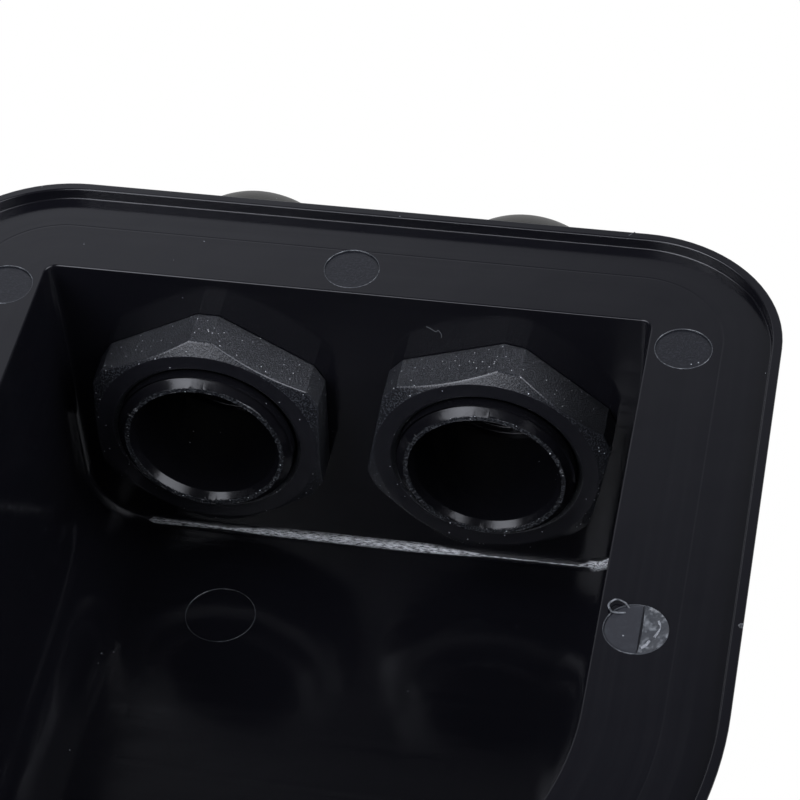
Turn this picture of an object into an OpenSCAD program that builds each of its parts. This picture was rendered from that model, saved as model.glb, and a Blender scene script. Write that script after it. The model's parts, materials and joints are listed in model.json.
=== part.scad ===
// Roof cable entry box with two cable glands.
// The hood is glued to a roof by its flange and is open underneath. The glands pass through its
// upright end wall. The origin is the middle of the flange, on the plane of the roof: +Z is up,
// the glands point to -Y and the round nose to +Y.

/* [Flange] */
// Width of the flange
flange_w = 94; // [88:1:120]
// Length of the flange, gland end to nose
flange_len = 112.5; // [104:0.5:150]
// Thickness of the flange above its recess
flange_t = 2.8; // [2:0.1:5]
// Radius of the two corners at the gland end
flange_corner_r = 16; // [6:0.5:24]
// Height of the rim that meets the roof
rim_h = 1.4; // [1:0.1:3]
// Width of the rim
rim_w = 1.1; // [0.8:0.1:3]

/* [Hood] */
// Width of the open mouth
mouth_w = 66; // [64:1:76]
// Distance from the flange's gland end to the inner face of the end wall
gland_margin = 12.2; // [9:0.1:18]
// Thickness of the hood's walls and roof
wall = 2.5; // [1.6:0.1:4]
// Height of the cavity above the plane of the roof
cavity_h = 40.7; // [38:0.1:60]
// Radius of the cavity's upright corners at the end wall
mouth_corner_r = 1.2; // [0.5:0.1:4]
// Radius of the hood's outer top edge
shoulder_r = 4; // [1:0.25:6]
// Radius of the hood's outer upright corners at the end wall
hood_corner_r = 4; // [1:0.25:5]
// Length of the level part of the cavity's roof, from the end wall
level_len = 47; // [35:1:60]
// Slope of the roof from there down to the nose, in degrees
fall_angle = 24; // [10:1:30]

/* [Mould marks] */
// Diameter of the ejector marks on the flange
mark_d = 6; // [4:0.5:8]
// Diameter of the ejector mark on the cavity's roof
roof_mark_d = 8; // [5:0.5:10]
// Depth of the ejector marks
mark_depth = 0.15; // [0.1:0.05:0.4]
// Distance of the flange's ejector marks from the mouth
mark_gap = 3.75; // [3.2:0.05:5]
// Distance of the flange's side marks from the end wall
side_mark_reach = 42.9; // [30:0.1:50]
// Distance of the roof's ejector mark from the middle
roof_mark_side = 14; // [5:0.5:20]
// Distance of the roof's ejector mark from the end wall
roof_mark_reach = 13.4; // [8:0.1:30]

/* [Glands] */
// Distance between the two gland axes
gland_spacing = 31.4; // [30:0.1:34]
// Height of the gland axes above the plane of the roof
gland_z = 20.6; // [19:0.1:24]
// Outside diameter of the gland's thread
thread_d = 20; // [19:0.25:20.5]
// Pitch of the gland's thread
thread_pitch = 1.5; // [1:0.25:2]
// Bore of the gland's tube
tube_bore_d = 16; // [14:0.25:16.5]
// Reach of the tube past the inner face of the end wall
tube_reach = 6.6; // [6:0.1:12]
// Hexagon collar, across flats
collar_af = 24; // [23:0.5:27]
// Thickness of the hexagon collar
collar_t = 5.5; // [3:0.25:8]
// Amount trimmed off the corners of the collar and the cap nut
hex_trim = 0.45; // [0.2:0.05:0.8]
// Length of the upper thread
barrel_len = 8; // [6.5:0.25:12]
// Length of the clamping fingers
finger_len = 5; // [3:0.25:8]
// Thickness of the clamping fingers
finger_t = 1.1; // [0.8:0.1:1.5]
// Number of clamping fingers
finger_count = 12; // [6:1:16]
// Width of the slots between the fingers
finger_slot = 1; // [0.6:0.1:1.4]
// Length of the solid ring at the fingers' roots
finger_root = 0.5; // [0.2:0.1:1.5]

/* [Lock nuts] */
// Lock nut, across flats
nut_af = 25.4; // [24.5:0.1:27]
// Thickness of the lock nut
nut_t = 5.2; // [4:0.1:5.8]
// Amount trimmed off the lock nut's corners
nut_trim = 0.65; // [0.2:0.05:0.8]
// Width of the lock nut's chamfer in the middle of a flat
nut_chamfer = 0.3; // [0.1:0.05:0.6]
// Turn of the left lock nut on its thread, in degrees
nut_turn_left = 1; // [-30:1:30]
// Turn of the right lock nut on its thread, in degrees
nut_turn_right = 11; // [-30:1:30]

/* [Seals] */
// Thickness of the gasket outside the end wall
gasket_t = 1.5; // [1:0.1:3]
// Width of the gasket's ring
gasket_w = 2; // [1.5:0.1:3]
// Bore of the seal, which grips the cable
seal_bore_d = 10; // [6:0.25:12]
// Thickness of the seal's end flange
seal_flange_t = 0.9; // [0.6:0.1:2]
// Width of the ledge that stops the seal
seal_stop_w = 1; // [0.8:0.1:1.5]
// Thickness of the ledge that stops the seal
seal_stop_t = 1.5; // [1:0.1:3]

/* [Cap nuts] */
// Cap nut, across flats
cap_af = 24; // [23.5:0.25:28]
// Length of the cap nut's hexagon
cap_hex_len = 8.5; // [6:0.25:9]
// Thickness of the cap nut's end
cap_end_t = 2.5; // [1.5:0.1:4]
// Diameter of the cap nut's flat end
cap_end_d = 18; // [16:0.25:19]
// Cable hole of the cap nut
cap_hole_d = 13; // [11:0.25:14]
// Turn of the cap nuts, in degrees
cap_turn = 8; // [-30:1:30]

/* [Fits] */
// Gap between pieces that move past each other
run_gap = 0.3; // [0.2:0.05:0.4]
// Gap round the thread in the lock nut, the gasket and the wall
thread_gap = 0.1; // [0.05:0.05:0.2]
// Gap between the cap nut and the hexagon collar
cap_gap = 0.5; // [0.3:0.1:1]

/* [Hidden] */
$fn = 96;

// Overshoot of a cut, so that no skin is left
over = 1;
// Places along the box
gland_end_y = -flange_len / 2;
end_wall_y = gland_end_y + gland_margin;
nose_y = flange_len / 2 - flange_w / 2;
// Outside of the hood
hood_w = mouth_w + 2 * wall;
hood_h = cavity_h + wall;
hood_end_y = end_wall_y - wall;
flange_top = rim_h + flange_t;
// Start of the falling roof, inside and outside
fall_y = end_wall_y + level_len;
outer_fall_y = fall_y + wall * tan(fall_angle / 2);
// The sloping cut is larger than the hood
cut_size = 2 * flange_len;
// Places of the ejector marks
mark_x = mouth_w / 2 + mark_gap;
side_mark_y = end_wall_y + side_mark_reach;

// Depth of a standard 60 degree thread as a share of its pitch
thread_form = 0.613;
// Radii of the gland
thread_r = thread_d / 2;
thread_depth = thread_form * thread_pitch;
tube_bore_r = tube_bore_d / 2;
hole_r = thread_r + 2 * thread_gap;
barrel_r = thread_r - thread_gap;
cage_r = tube_bore_r + thread_gap;
finger_r = cage_r + finger_t;
seal_r = cage_r - run_gap;
seal_flange_r = finger_r - run_gap - thread_gap;
gasket_r = hole_r + gasket_w;
// Stations along a gland, from the inner face of the end wall outwards
collar_z = wall + gasket_t;
barrel_z = collar_z + collar_t;
finger_z = barrel_z + barrel_len;
tip_z = finger_z + finger_len;
seal_z = barrel_z + run_gap;
seal_flange_z = tip_z + run_gap;
seal_end_z = seal_flange_z + seal_flange_t;
cap_z = barrel_z + cap_gap;
cap_inner_z = seal_end_z + run_gap;
cap_end_z = cap_inner_z + cap_end_t;
dome_z = cap_z + cap_hex_len;

// Circumradius of a hexagon from its size across flats
function hex_r(af) = af / 2 / cos(30);

// Flat outline: square gland end with round corners, straight sides and a half-round nose
module bullet(w, end_y, corner_r) {
    translate([0, nose_y]) circle(w / 2);
    translate([-w / 2, end_y + corner_r]) square([w, nose_y - end_y - corner_r]);
    translate([-w / 2 + corner_r, end_y]) square([w - 2 * corner_r, corner_r + over]);
    for (side = [-1, 1])
        translate([side * (w / 2 - corner_r), end_y + corner_r]) circle(corner_r);
}

// Half of the hood's section, with its rounded top edge
module half_section() {
    square([hood_w / 2 - shoulder_r, hood_h]);
    square([hood_w / 2, hood_h - shoulder_r]);
    translate([hood_w / 2 - shoulder_r, hood_h - shoulder_r]) circle(shoulder_r);
}

// Everything above the sloping roof that starts at height h and place y
module above_fall(y, h) {
    translate([0, y, h]) rotate([-fall_angle, 0, 0])
        translate([-cut_size / 2, 0, 0]) cube([cut_size, cut_size, cut_size]);
}

// What is cut off the hood's right upright corner at the gland end
module corner_waste() {
    translate([hood_w / 2 - hood_corner_r, hood_end_y + hood_corner_r, -over]) difference() {
        translate([0, -hood_corner_r - over, 0])
            cube([hood_corner_r + over, hood_corner_r + over, hood_h + 2 * over]);
        cylinder(r = hood_corner_r, h = hood_h + 2 * over);
    }
}

// Outside of the hood: a straight run with a revolved nose, cut by the sloping roof
module hood_outside() {
    difference() {
        union() {
            for (side = [0, 1])
                mirror([side, 0, 0]) translate([0, nose_y, 0]) rotate([90, 0, 0])
                    linear_extrude(nose_y - hood_end_y) half_section();
            translate([0, nose_y, 0]) rotate_extrude() half_section();
        }
        above_fall(outer_fall_y, hood_h);
        corner_waste();
        mirror([1, 0, 0]) corner_waste();
    }
}

// Space under the hood
module cavity() {
    difference() {
        translate([0, 0, -over]) linear_extrude(cavity_h + over)
            bullet(mouth_w, end_wall_y, mouth_corner_r);
        above_fall(fall_y, cavity_h);
    }
}

// Shallow round ejector marks on the flange band and on the cavity's roof
module ejector_marks() {
    band = [
        [0, end_wall_y - mark_gap],
        [mark_x, end_wall_y + mark_gap], [-mark_x, end_wall_y + mark_gap],
        [mark_x, side_mark_y], [-mark_x, side_mark_y],
        [0, nose_y + mark_x]
    ];
    for (place = band)
        translate([place[0], place[1], rim_h - over]) cylinder(d = mark_d, h = over + mark_depth);
    translate([-roof_mark_side, end_wall_y + roof_mark_reach, cavity_h - over])
        cylinder(d = roof_mark_d, h = over + mark_depth);
}

// Puts a gland piece, drawn outwards along +Z, at the left (-1) or right (1) hole
module at_gland(side) {
    translate([side * gland_spacing / 2, end_wall_y, gland_z]) rotate([90, 0, 0]) children();
}

// Hexagon prism with a flat towards +X
module hex_prism(af, h) {
    rotate([0, 0, 30]) cylinder(r = hex_r(af), h = h, $fn = 6);
}

module box_body() {
    color("#141416") difference() {
        union() {
            linear_extrude(flange_top) bullet(flange_w, gland_end_y, flange_corner_r);
            hood_outside();
        }
        translate([0, 0, -over]) linear_extrude(rim_h + over)
            bullet(flange_w - 2 * rim_w, gland_end_y + rim_w, flange_corner_r - rim_w);
        cavity();
        ejector_marks();
        for (side = [-1, 1])
            at_gland(side) translate([0, 0, -over]) cylinder(r = hole_r, h = wall + 2 * over);
    }
}

// Lock nut: a hexagon with trimmed, chamfered corners and a countersunk thread
module lock_nut(side, turn) {
    bore_r = thread_r + thread_gap;
    corner_r = hex_r(nut_af) - nut_trim;
    chamfer_w = corner_r - nut_af / 2 + nut_chamfer;
    color("#1b1b1d") at_gland(side) translate([0, 0, -nut_t]) difference() {
        intersection() {
            rotate([0, 0, turn]) hex_prism(nut_af, nut_t);
            union() {
                cylinder(r1 = corner_r - chamfer_w, r2 = corner_r, h = chamfer_w / 2);
                translate([0, 0, chamfer_w / 2]) cylinder(r = corner_r, h = nut_t - chamfer_w / 2);
            }
        }
        translate([0, 0, -over]) cylinder(r = bore_r, h = nut_t + 2 * over);
        translate([0, 0, -thread_depth / 2])
            cylinder(r1 = bore_r + thread_depth, r2 = bore_r, h = thread_depth);
    }
}

module gasket(side) {
    color("#101010") at_gland(side) translate([0, 0, wall]) difference() {
        cylinder(r = gasket_r, h = gasket_t);
        translate([0, 0, -over]) cylinder(r = hole_r, h = gasket_t + 2 * over);
    }
}

// Gland body: threaded tube, hexagon collar, upper thread and slotted clamping fingers
module gland_body(side) {
    corner_r = hex_r(collar_af) - hex_trim;
    slot_reach = finger_r + over;
    color("#1b1b1d") at_gland(side) difference() {
        union() {
            translate([0, 0, -tube_reach])
                cylinder(r1 = thread_r - thread_depth, r2 = thread_r, h = thread_depth);
            translate([0, 0, thread_depth - tube_reach])
                cylinder(r = thread_r, h = collar_z + tube_reach);
            translate([0, 0, collar_z]) intersection() {
                hex_prism(collar_af, collar_t);
                cylinder(r = corner_r, h = collar_t);
            }
            translate([0, 0, collar_z + over]) cylinder(r = barrel_r, h = finger_z - collar_z - over);
            translate([0, 0, barrel_z]) cylinder(r = finger_r, h = tip_z - barrel_z);
        }
        translate([0, 0, -tube_reach - over])
            cylinder(r = tube_bore_r, h = barrel_z - seal_stop_t + tube_reach + over);
        cylinder(r = tube_bore_r - seal_stop_w, h = tip_z);
        translate([0, 0, barrel_z]) cylinder(r = cage_r, h = tip_z);
        for (i = [0 : finger_count - 1])
            rotate([0, 0, i * 360 / finger_count])
                translate([0, -finger_slot / 2, finger_z + finger_root])
                    cube([slot_reach, finger_slot, finger_len + over]);
    }
}

// Seal: a rubber sleeve with an end flange, inside the fingers
module seal(side) {
    color("#0d0d0d") at_gland(side) difference() {
        union() {
            translate([0, 0, seal_z]) cylinder(r = seal_r, h = seal_end_z - seal_z);
            translate([0, 0, seal_flange_z]) cylinder(r = seal_flange_r, h = seal_flange_t);
        }
        translate([0, 0, seal_z - over]) cylinder(d = seal_bore_d, h = seal_end_z - seal_z + 2 * over);
    }
}

// Cap nut: a hexagon skirt and a spherical dome over the fingers
module cap_nut(side) {
    corner_r = hex_r(cap_af) - hex_trim;
    dome_len = cap_end_z - dome_z;
    base_r = cap_af / 2 - hex_trim;
    end_r = cap_end_d / 2;
    // The dome's sphere passes through its base circle and its flat end's circle
    rise = (end_r * end_r + dome_len * dome_len - base_r * base_r) / (2 * dome_len);
    dome_r = sqrt(base_r * base_r + rise * rise);
    bore_r = barrel_r + run_gap;
    color("#1b1b1d") at_gland(side) difference() {
        union() {
            translate([0, 0, cap_z]) intersection() {
                rotate([0, 0, cap_turn]) hex_prism(cap_af, cap_hex_len);
                cylinder(r = corner_r, h = cap_hex_len);
            }
            intersection() {
                translate([0, 0, dome_z + rise]) sphere(dome_r);
                translate([0, 0, dome_z - over]) cylinder(r = base_r, h = dome_len + over);
            }
        }
        translate([0, 0, cap_z - over]) cylinder(r = bore_r, h = finger_z - cap_z + over);
        translate([0, 0, finger_z])
            cylinder(r1 = bore_r, r2 = finger_r + run_gap, h = seal_flange_z - finger_z);
        translate([0, 0, seal_flange_z])
            cylinder(r1 = finger_r + run_gap, r2 = finger_r, h = cap_inner_z - seal_flange_z);
        translate([0, 0, cap_inner_z - over]) cylinder(d = cap_hole_d, h = cap_end_t + 2 * over);
    }
}

box_body();
lock_nut(-1, nut_turn_left);  // lock_nut_left
lock_nut(1, nut_turn_right);  // lock_nut_right
gasket(-1);  // gasket_left
gasket(1);  // gasket_right
gland_body(-1);  // gland_body_left
gland_body(1);  // gland_body_right
seal(-1);  // seal_left
seal(1);  // seal_right
cap_nut(-1);  // cap_nut_left
cap_nut(1);  // cap_nut_right
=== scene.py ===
"""Looks of a roof cable entry box: fine meshes, finishes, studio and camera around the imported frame.

Sizes are in millimetres in the frame of the part: the origin is the middle of the flange on the plane
of the roof, +Z is up, the glands point to -Y and the round nose to +Y. Meshes become metres at the end.
"""

import json
import logging
import math
from abc import ABC, abstractmethod
from collections.abc import Callable, Sequence
from dataclasses import dataclass, field
from enum import Enum

import bmesh
import bpy
import numpy as np
from mathutils import Euler, Matrix, Vector


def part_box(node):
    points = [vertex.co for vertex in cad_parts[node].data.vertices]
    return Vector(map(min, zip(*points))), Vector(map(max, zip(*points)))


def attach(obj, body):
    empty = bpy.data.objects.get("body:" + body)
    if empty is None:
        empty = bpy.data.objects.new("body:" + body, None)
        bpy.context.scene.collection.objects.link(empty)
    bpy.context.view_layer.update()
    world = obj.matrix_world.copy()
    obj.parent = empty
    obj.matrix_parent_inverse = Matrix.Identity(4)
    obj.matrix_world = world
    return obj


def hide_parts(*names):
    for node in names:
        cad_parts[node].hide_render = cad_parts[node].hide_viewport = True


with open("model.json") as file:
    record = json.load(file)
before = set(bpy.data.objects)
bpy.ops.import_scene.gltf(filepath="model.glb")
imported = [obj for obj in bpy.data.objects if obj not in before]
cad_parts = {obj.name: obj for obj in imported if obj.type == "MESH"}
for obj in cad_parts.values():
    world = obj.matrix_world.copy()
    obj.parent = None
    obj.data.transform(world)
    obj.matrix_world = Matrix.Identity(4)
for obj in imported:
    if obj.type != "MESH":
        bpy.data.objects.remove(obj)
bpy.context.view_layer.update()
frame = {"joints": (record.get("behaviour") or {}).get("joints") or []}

log = logging.getLogger("cable_entry_box")

# Millimetres to metres
MM = 0.001
# Points closer than this, in millimetres, are one point
MERGE_MM = 1e-4
# Edges that turn more than this are creases
CREASE_DEG = 35.0
# Share of a leg that a fillet or its holding point may take
LEG_SHARE = 0.4
# Share of a rounding's radius after which a ring holds the flat beside it
HOLD_SHARE = 0.35
# Sides of a regular nut
HEX_SIDES = 6
# Points round a gland hole or an ejector mark
ROUND_POINTS = 72
# How far a cutter reaches past the skin that it cuts, in millimetres
OVER_MM = 1.0

Corner = tuple[float, float, float]
Spot = tuple[float, float]
Skin = tuple[bpy.types.NodeSocket, bpy.types.NodeSocket | float, bpy.types.NodeSocket]


class Side(Enum):
    """The two glands, with the sign of their place along X."""

    LEFT = -1
    RIGHT = 1

    def node(self, stem: str) -> str:
        """Name of this side's node in the frame, with the side last."""
        return f"{stem}_{self.name.lower()}"

    def piece(self, stem: str) -> str:
        """Name of this side's piece or moving body, with the side first."""
        return f"{self.name.lower()}_{stem}"


# Turn of each lock nut as it was tightened, in degrees
NUT_TURN_DEG = {Side.LEFT: 1.0, Side.RIGHT: 11.0}


class Roof(Enum):
    """What a ring of the hood measures its height from."""

    GROUND = "plane of the roof that the box stands on"
    INSIDE = "ceiling of the cavity"
    OUTSIDE = "top of the hood"


def linear(colour: str) -> tuple[float, float, float, float]:
    """Turns an sRGB hex colour to linear values.

    Args:
        colour: the colour, such as "#101012".

    Returns:
        Red, green, blue and alpha, linear.
    """
    parts = [int(colour[i:i + 2], 16) / 255 for i in (1, 3, 5)]
    red, green, blue = (c / 12.92 if c <= 0.04045 else ((c + 0.055) / 1.055) ** 2.4 for c in parts)
    return red, green, blue, 1.0


def add_node(tree: bpy.types.NodeTree, kind: str, inputs: dict | None = None,
             **settings: object) -> bpy.types.Node:
    """Adds a node, sets its properties, and links or sets its inputs.

    Args:
        tree: the node tree.
        kind: the node's type name.
        inputs: a value or an output socket for each input, by name or place.
        settings: the node's own properties.

    Returns:
        The new node.
    """
    node = tree.nodes.new(kind)
    for name, value in settings.items():
        setattr(node, name, value)
    for key, value in (inputs or {}).items():
        if isinstance(value, bpy.types.NodeSocket):
            tree.links.new(value, node.inputs[key])
        else:
            node.inputs[key].default_value = value
    return node


def blank_material(name: str) -> tuple[bpy.types.Material, bpy.types.NodeTree]:
    """Starts a material with no nodes.

    Args:
        name: the material's name.

    Returns:
        The material and its empty tree.
    """
    material = bpy.data.materials.new(name)
    material.use_nodes = True
    material.node_tree.nodes.clear()
    return material, material.node_tree


def specks(tree: bpy.types.NodeTree, place: bpy.types.NodeSocket, cell_mm: float, radius_mm: float,
           share: float) -> bpy.types.NodeSocket:
    """Adds scattered specks: one small ball in each cell of space, of which only a share is drawn.

    Args:
        tree: the node tree.
        place: the coordinates, in metres.
        cell_mm: size of a cell.
        radius_mm: radius of a speck.
        share: share of the cells that hold one.

    Returns:
        A socket that is 1 in a speck and 0 elsewhere.
    """
    cells = add_node(tree, "ShaderNodeTexVoronoi", {"Vector": place, "Scale": 1 / (cell_mm * MM)})
    near = add_node(tree, "ShaderNodeMath", {
        0: cells.outputs["Distance"], 1: radius_mm / cell_mm,
    }, operation="LESS_THAN")
    chance = add_node(tree, "ShaderNodeSeparateColor", {0: cells.outputs["Color"]})
    drawn = add_node(tree, "ShaderNodeMath", {0: chance.outputs[0], 1: share}, operation="LESS_THAN")
    both = add_node(tree, "ShaderNodeMath", {0: near.outputs[0], 1: drawn.outputs[0]}, operation="MULTIPLY")
    return both.outputs[0]


def filleted(corners: Sequence[Corner], steps: int = 4) -> np.ndarray:
    """Rounds the corners of an open profile.

    Each rounded corner also gets a point on either leg, which keeps the shading of the flat there.

    Args:
        corners: across, height and radius of each corner; the two ends stay sharp.
        steps: segments of each round.

    Returns:
        The points, as many for any profile with the same corners rounded.
    """
    points = [np.array(corners[0][:2], float)]
    for before, corner, after in zip(corners, corners[1:], corners[2:]):
        here = np.array(corner[:2], float)
        if corner[2] <= 0:
            points.append(here)
            continue
        leg_in = np.array(before[:2], float) - here
        leg_out = np.array(after[:2], float) - here
        long_in = max(np.linalg.norm(leg_in), MERGE_MM)
        long_out = max(np.linalg.norm(leg_out), MERGE_MM)
        way_in, way_out = leg_in / long_in, leg_out / long_out
        half = 0.5 * math.acos(float(np.clip(way_in @ way_out, -0.9999, 0.9999)))
        cut = min(corner[2] / math.tan(half), LEG_SHARE * long_in, LEG_SHARE * long_out)
        middle = (way_in + way_out) / np.linalg.norm(way_in + way_out)
        centre = here + middle * cut / math.cos(half)
        start, end = here + way_in * cut - centre, here + way_out * cut - centre
        turn = math.pi - 2 * half
        points.append(centre + start + way_in * min(cut, LEG_SHARE * (long_in - cut)) / 2)
        for i in range(steps + 1):
            share = i / steps
            a, b = math.sin((1 - share) * turn), math.sin(share * turn)
            points.append(centre + (a * start + b * end) / math.sin(turn))
        points.append(centre + end + way_out * min(cut, LEG_SHARE * (long_out - cut)) / 2)
    points.append(np.array(corners[-1][:2], float))
    return np.array(points)


def subdivided(points: np.ndarray, longest: float) -> np.ndarray:
    """Adds points to a closed outline, so that no leg is longer than a limit.

    Args:
        points: the outline's points.
        longest: the longest leg, in millimetres.

    Returns:
        The points with those added.
    """
    dense: list[np.ndarray] = []
    for here, there in zip(points, np.roll(points, -1, axis=0)):
        count = max(1, math.ceil(np.linalg.norm(there - here) / longest))
        dense += [here + (there - here) * i / count for i in range(count)]
    return np.array(dense)


def polar(points: np.ndarray) -> np.ndarray:
    """Angle and radius of each point of a flat outline."""
    return np.stack([np.arctan2(points[:, 1], points[:, 0]), np.hypot(points[:, 0], points[:, 1])], axis=1)


def round_angles(count: int) -> np.ndarray:
    """Angles of a number of points, evenly all round."""
    return np.arange(count) * math.tau / count


def hexagon_outline(flats: float, corner_r: float, edge_r: float, turn_deg: float,
                    longest: float) -> np.ndarray:
    """Outline of a hexagon with trimmed, softened corners, with a flat towards +X before it turns.

    Args:
        flats: size across flats.
        corner_r: radius to which the corners are trimmed.
        edge_r: radius of the edges along the nut.
        turn_deg: turn about the axis, in degrees.
        longest: the longest leg of the outline.

    Returns:
        Angle and radius of each point.
    """
    spread = math.acos(flats / 2 / corner_r)
    corners: list[Corner] = [(flats / 2, 0.0, 0.0)]
    for i in range(HEX_SIDES):
        facing = i * math.tau / HEX_SIDES
        after = facing + math.tau / HEX_SIDES
        for angle in (facing + spread, after - spread):
            corners.append((corner_r * math.cos(angle), corner_r * math.sin(angle), edge_r))
    corners.append(corners[0])
    outline = polar(subdivided(filleted(corners, 3)[:-1], longest))
    outline[:, 0] += math.radians(turn_deg)
    return outline


def swung(section: np.ndarray, angle: float) -> np.ndarray:
    """Points of a section, radius and height, at an angle round the axis of a gland."""
    return np.stack([section[:, 0] * math.cos(angle), section[:, 0] * math.sin(angle), section[:, 1]], axis=1)


def turned(outline: np.ndarray, profile: Callable[[float], np.ndarray]) -> np.ndarray:
    """Sweeps a profile round the axis of a gland.

    Args:
        outline: angle and outer radius of each column.
        profile: gives the profile, radius and height, for an outer radius.

    Returns:
        A net of points, profile by angle.
    """
    return np.stack([swung(profile(radius), angle) for angle, radius in outline], axis=1)


def lathed(section: Sequence[Spot] | np.ndarray, count: int) -> np.ndarray:
    """Turns one section all round an axis.

    Args:
        section: radius and height of each point.
        count: points round it.

    Returns:
        A net of points, section by angle.
    """
    return np.stack([swung(np.array(section), angle) for angle in round_angles(count)], axis=1)


class MeshDraft:
    """A piece while it is put together, in millimetres."""

    def __init__(self) -> None:
        """Starts with nothing but a UV map, which follows the surface."""
        self.mesh = bmesh.new()
        self.uv = self.mesh.loops.layers.uv.new("surface")

    @classmethod
    def closed(cls, points: np.ndarray) -> "MeshDraft":
        """Starts a piece with a net that closes both ways.

        Args:
            points: rows by columns of points.

        Returns:
            The draft.
        """
        draft = cls()
        draft.net(points, close_rows=True, close_columns=True)
        return draft

    def net(self, points: np.ndarray, uv: np.ndarray | None = None, close_rows: bool = False,
            close_columns: bool = False, finish: int = 0) -> None:
        """Adds a net of four-sided faces.

        Args:
            points: rows by columns of points.
            uv: place on the surface of each point, with one more column if the columns close.
            close_rows: joins the last row to the first.
            close_columns: joins the last column to the first.
            finish: place of the faces' finish in the piece's list.
        """
        rows, columns = points.shape[:2]
        verts = [[self.mesh.verts.new(point) for point in row] for row in points]
        for i in range(rows if close_rows else rows - 1):
            for j in range(columns if close_columns else columns - 1):
                k, m = (i + 1) % rows, (j + 1) % columns
                face = self.mesh.faces.new((verts[i][j], verts[i][m], verts[k][m], verts[k][j]))
                face.material_index = finish
                face.smooth = True
                if uv is not None:
                    for loop, place in zip(face.loops, ((i, j), (i, j + 1), (k, j + 1), (k, j))):
                        loop[self.uv].uv = uv[place]

    def take(self, mesh: bpy.types.Mesh, finish: int = 0) -> None:
        """Takes in a finished mesh.

        Args:
            mesh: the mesh, in millimetres.
            finish: place of its finish in the piece's list.
        """
        verts = [self.mesh.verts.new(vertex.co) for vertex in mesh.vertices]
        for polygon in mesh.polygons:
            face = self.mesh.faces.new([verts[i] for i in polygon.vertices])
            face.material_index = finish
            face.smooth = True

    def moved(self, rule: Callable[[np.ndarray], np.ndarray]) -> None:
        """Moves every point by a rule.

        Args:
            rule: gives the new places of all points from their old ones.
        """
        spots = rule(np.array([vertex.co for vertex in self.mesh.verts]))
        for vertex, spot in zip(self.mesh.verts, spots):
            vertex.co = spot

    def ended(self, name: str) -> bpy.types.Mesh:
        """Ends the draft in a plain mesh, still in millimetres.

        Args:
            name: the mesh's name.

        Returns:
            The mesh.
        """
        mesh = bpy.data.meshes.new(name)
        self.mesh.to_mesh(mesh)
        self.mesh.free()
        return mesh

    def piece(self, name: str, finishes: Sequence[bpy.types.Material]) -> bpy.types.Object:
        """Closes the seams, turns the faces outwards and makes the object, in metres.

        Args:
            name: the object's name.
            finishes: its materials, in the order of the faces' finishes.

        Returns:
            The object, at the origin.
        """
        bmesh.ops.remove_doubles(self.mesh, verts=self.mesh.verts, dist=MERGE_MM)
        bmesh.ops.dissolve_degenerate(self.mesh, edges=self.mesh.edges, dist=MERGE_MM)
        bmesh.ops.recalc_face_normals(self.mesh, faces=self.mesh.faces)
        mesh = self.ended(name)
        mesh.transform(Matrix.Scale(MM, 4))
        for material in finishes:
            mesh.materials.append(material)
        mesh.set_sharp_from_angle(angle=math.radians(CREASE_DEG))
        piece = bpy.data.objects.new(name, mesh)
        bpy.context.scene.collection.objects.link(piece)
        return piece


def carved(piece: bpy.types.Object, cutter: bpy.types.Object) -> None:
    """Cuts a cutter's shape out of a piece; the cut faces keep the cutter's finish.

    Args:
        piece: the piece, which keeps its object.
        cutter: the cutter, which is removed.
    """
    cut = piece.modifiers.new("cut", "BOOLEAN")
    cut.operation = "DIFFERENCE"
    cut.solver = "EXACT"
    cut.material_mode = "TRANSFER"
    cut.object = cutter
    done = piece.evaluated_get(bpy.context.evaluated_depsgraph_get())
    mesh = bpy.data.meshes.new_from_object(done)
    piece.modifiers.remove(cut)
    old, piece.data = piece.data, mesh
    bpy.data.meshes.remove(old)
    bpy.data.objects.remove(cutter)
    mesh.name = piece.name
    mesh.set_sharp_from_angle(angle=math.radians(CREASE_DEG))


def joined(piece: bpy.types.Object, extra: bpy.types.Object) -> None:
    """Joins a second object's mesh to a piece.

    Args:
        piece: the piece, which keeps its object.
        extra: the other object, with the same list of finishes, which is removed.
    """
    both = bmesh.new()
    both.from_mesh(piece.data)
    both.from_mesh(extra.data)
    both.to_mesh(piece.data)
    both.free()
    bpy.data.objects.remove(extra)


def grown(name: str, tree: bpy.types.NodeTree, inputs: dict,
          start: bpy.types.Mesh | None = None) -> bpy.types.Mesh:
    """Runs a geometry tree once and keeps its mesh.

    Args:
        name: name of the mesh.
        tree: the tree.
        inputs: values by input name.
        start: the mesh that the tree starts from.

    Returns:
        The finished mesh.
    """
    carrier = bpy.data.objects.new(name, start or bpy.data.meshes.new(name))
    bpy.context.scene.collection.objects.link(carrier)
    modifier = carrier.modifiers.new(name, "NODES")
    modifier.node_group = tree
    for item in tree.interface.items_tree:
        if item.item_type == "SOCKET" and item.in_out == "INPUT" and item.name in inputs:
            modifier[item.identifier] = inputs[item.name]
    done = carrier.evaluated_get(bpy.context.evaluated_depsgraph_get())
    mesh = bpy.data.meshes.new_from_object(done)
    carrier.modifiers.remove(modifier)
    bpy.data.objects.remove(carrier)
    return mesh


def new_tree(name: str, inputs: dict[str, tuple[str, object]]) -> tuple[bpy.types.NodeTree, dict]:
    """Starts a geometry tree with named inputs.

    Args:
        name: the tree's name.
        inputs: socket type and default value by input name.

    Returns:
        The tree and its input sockets by name.
    """
    tree = bpy.data.node_groups.new(name, "GeometryNodeTree")
    tree.interface.new_socket("Geometry", in_out="OUTPUT", socket_type="NodeSocketGeometry")
    tree.interface.new_socket("Geometry", in_out="INPUT", socket_type="NodeSocketGeometry")
    for label, (kind, value) in inputs.items():
        socket = tree.interface.new_socket(label, in_out="INPUT", socket_type=kind)
        if value is not None:
            socket.default_value = value
    source = add_node(tree, "NodeGroupInput")
    return tree, {socket.name: socket for socket in source.outputs if socket.name}


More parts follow.
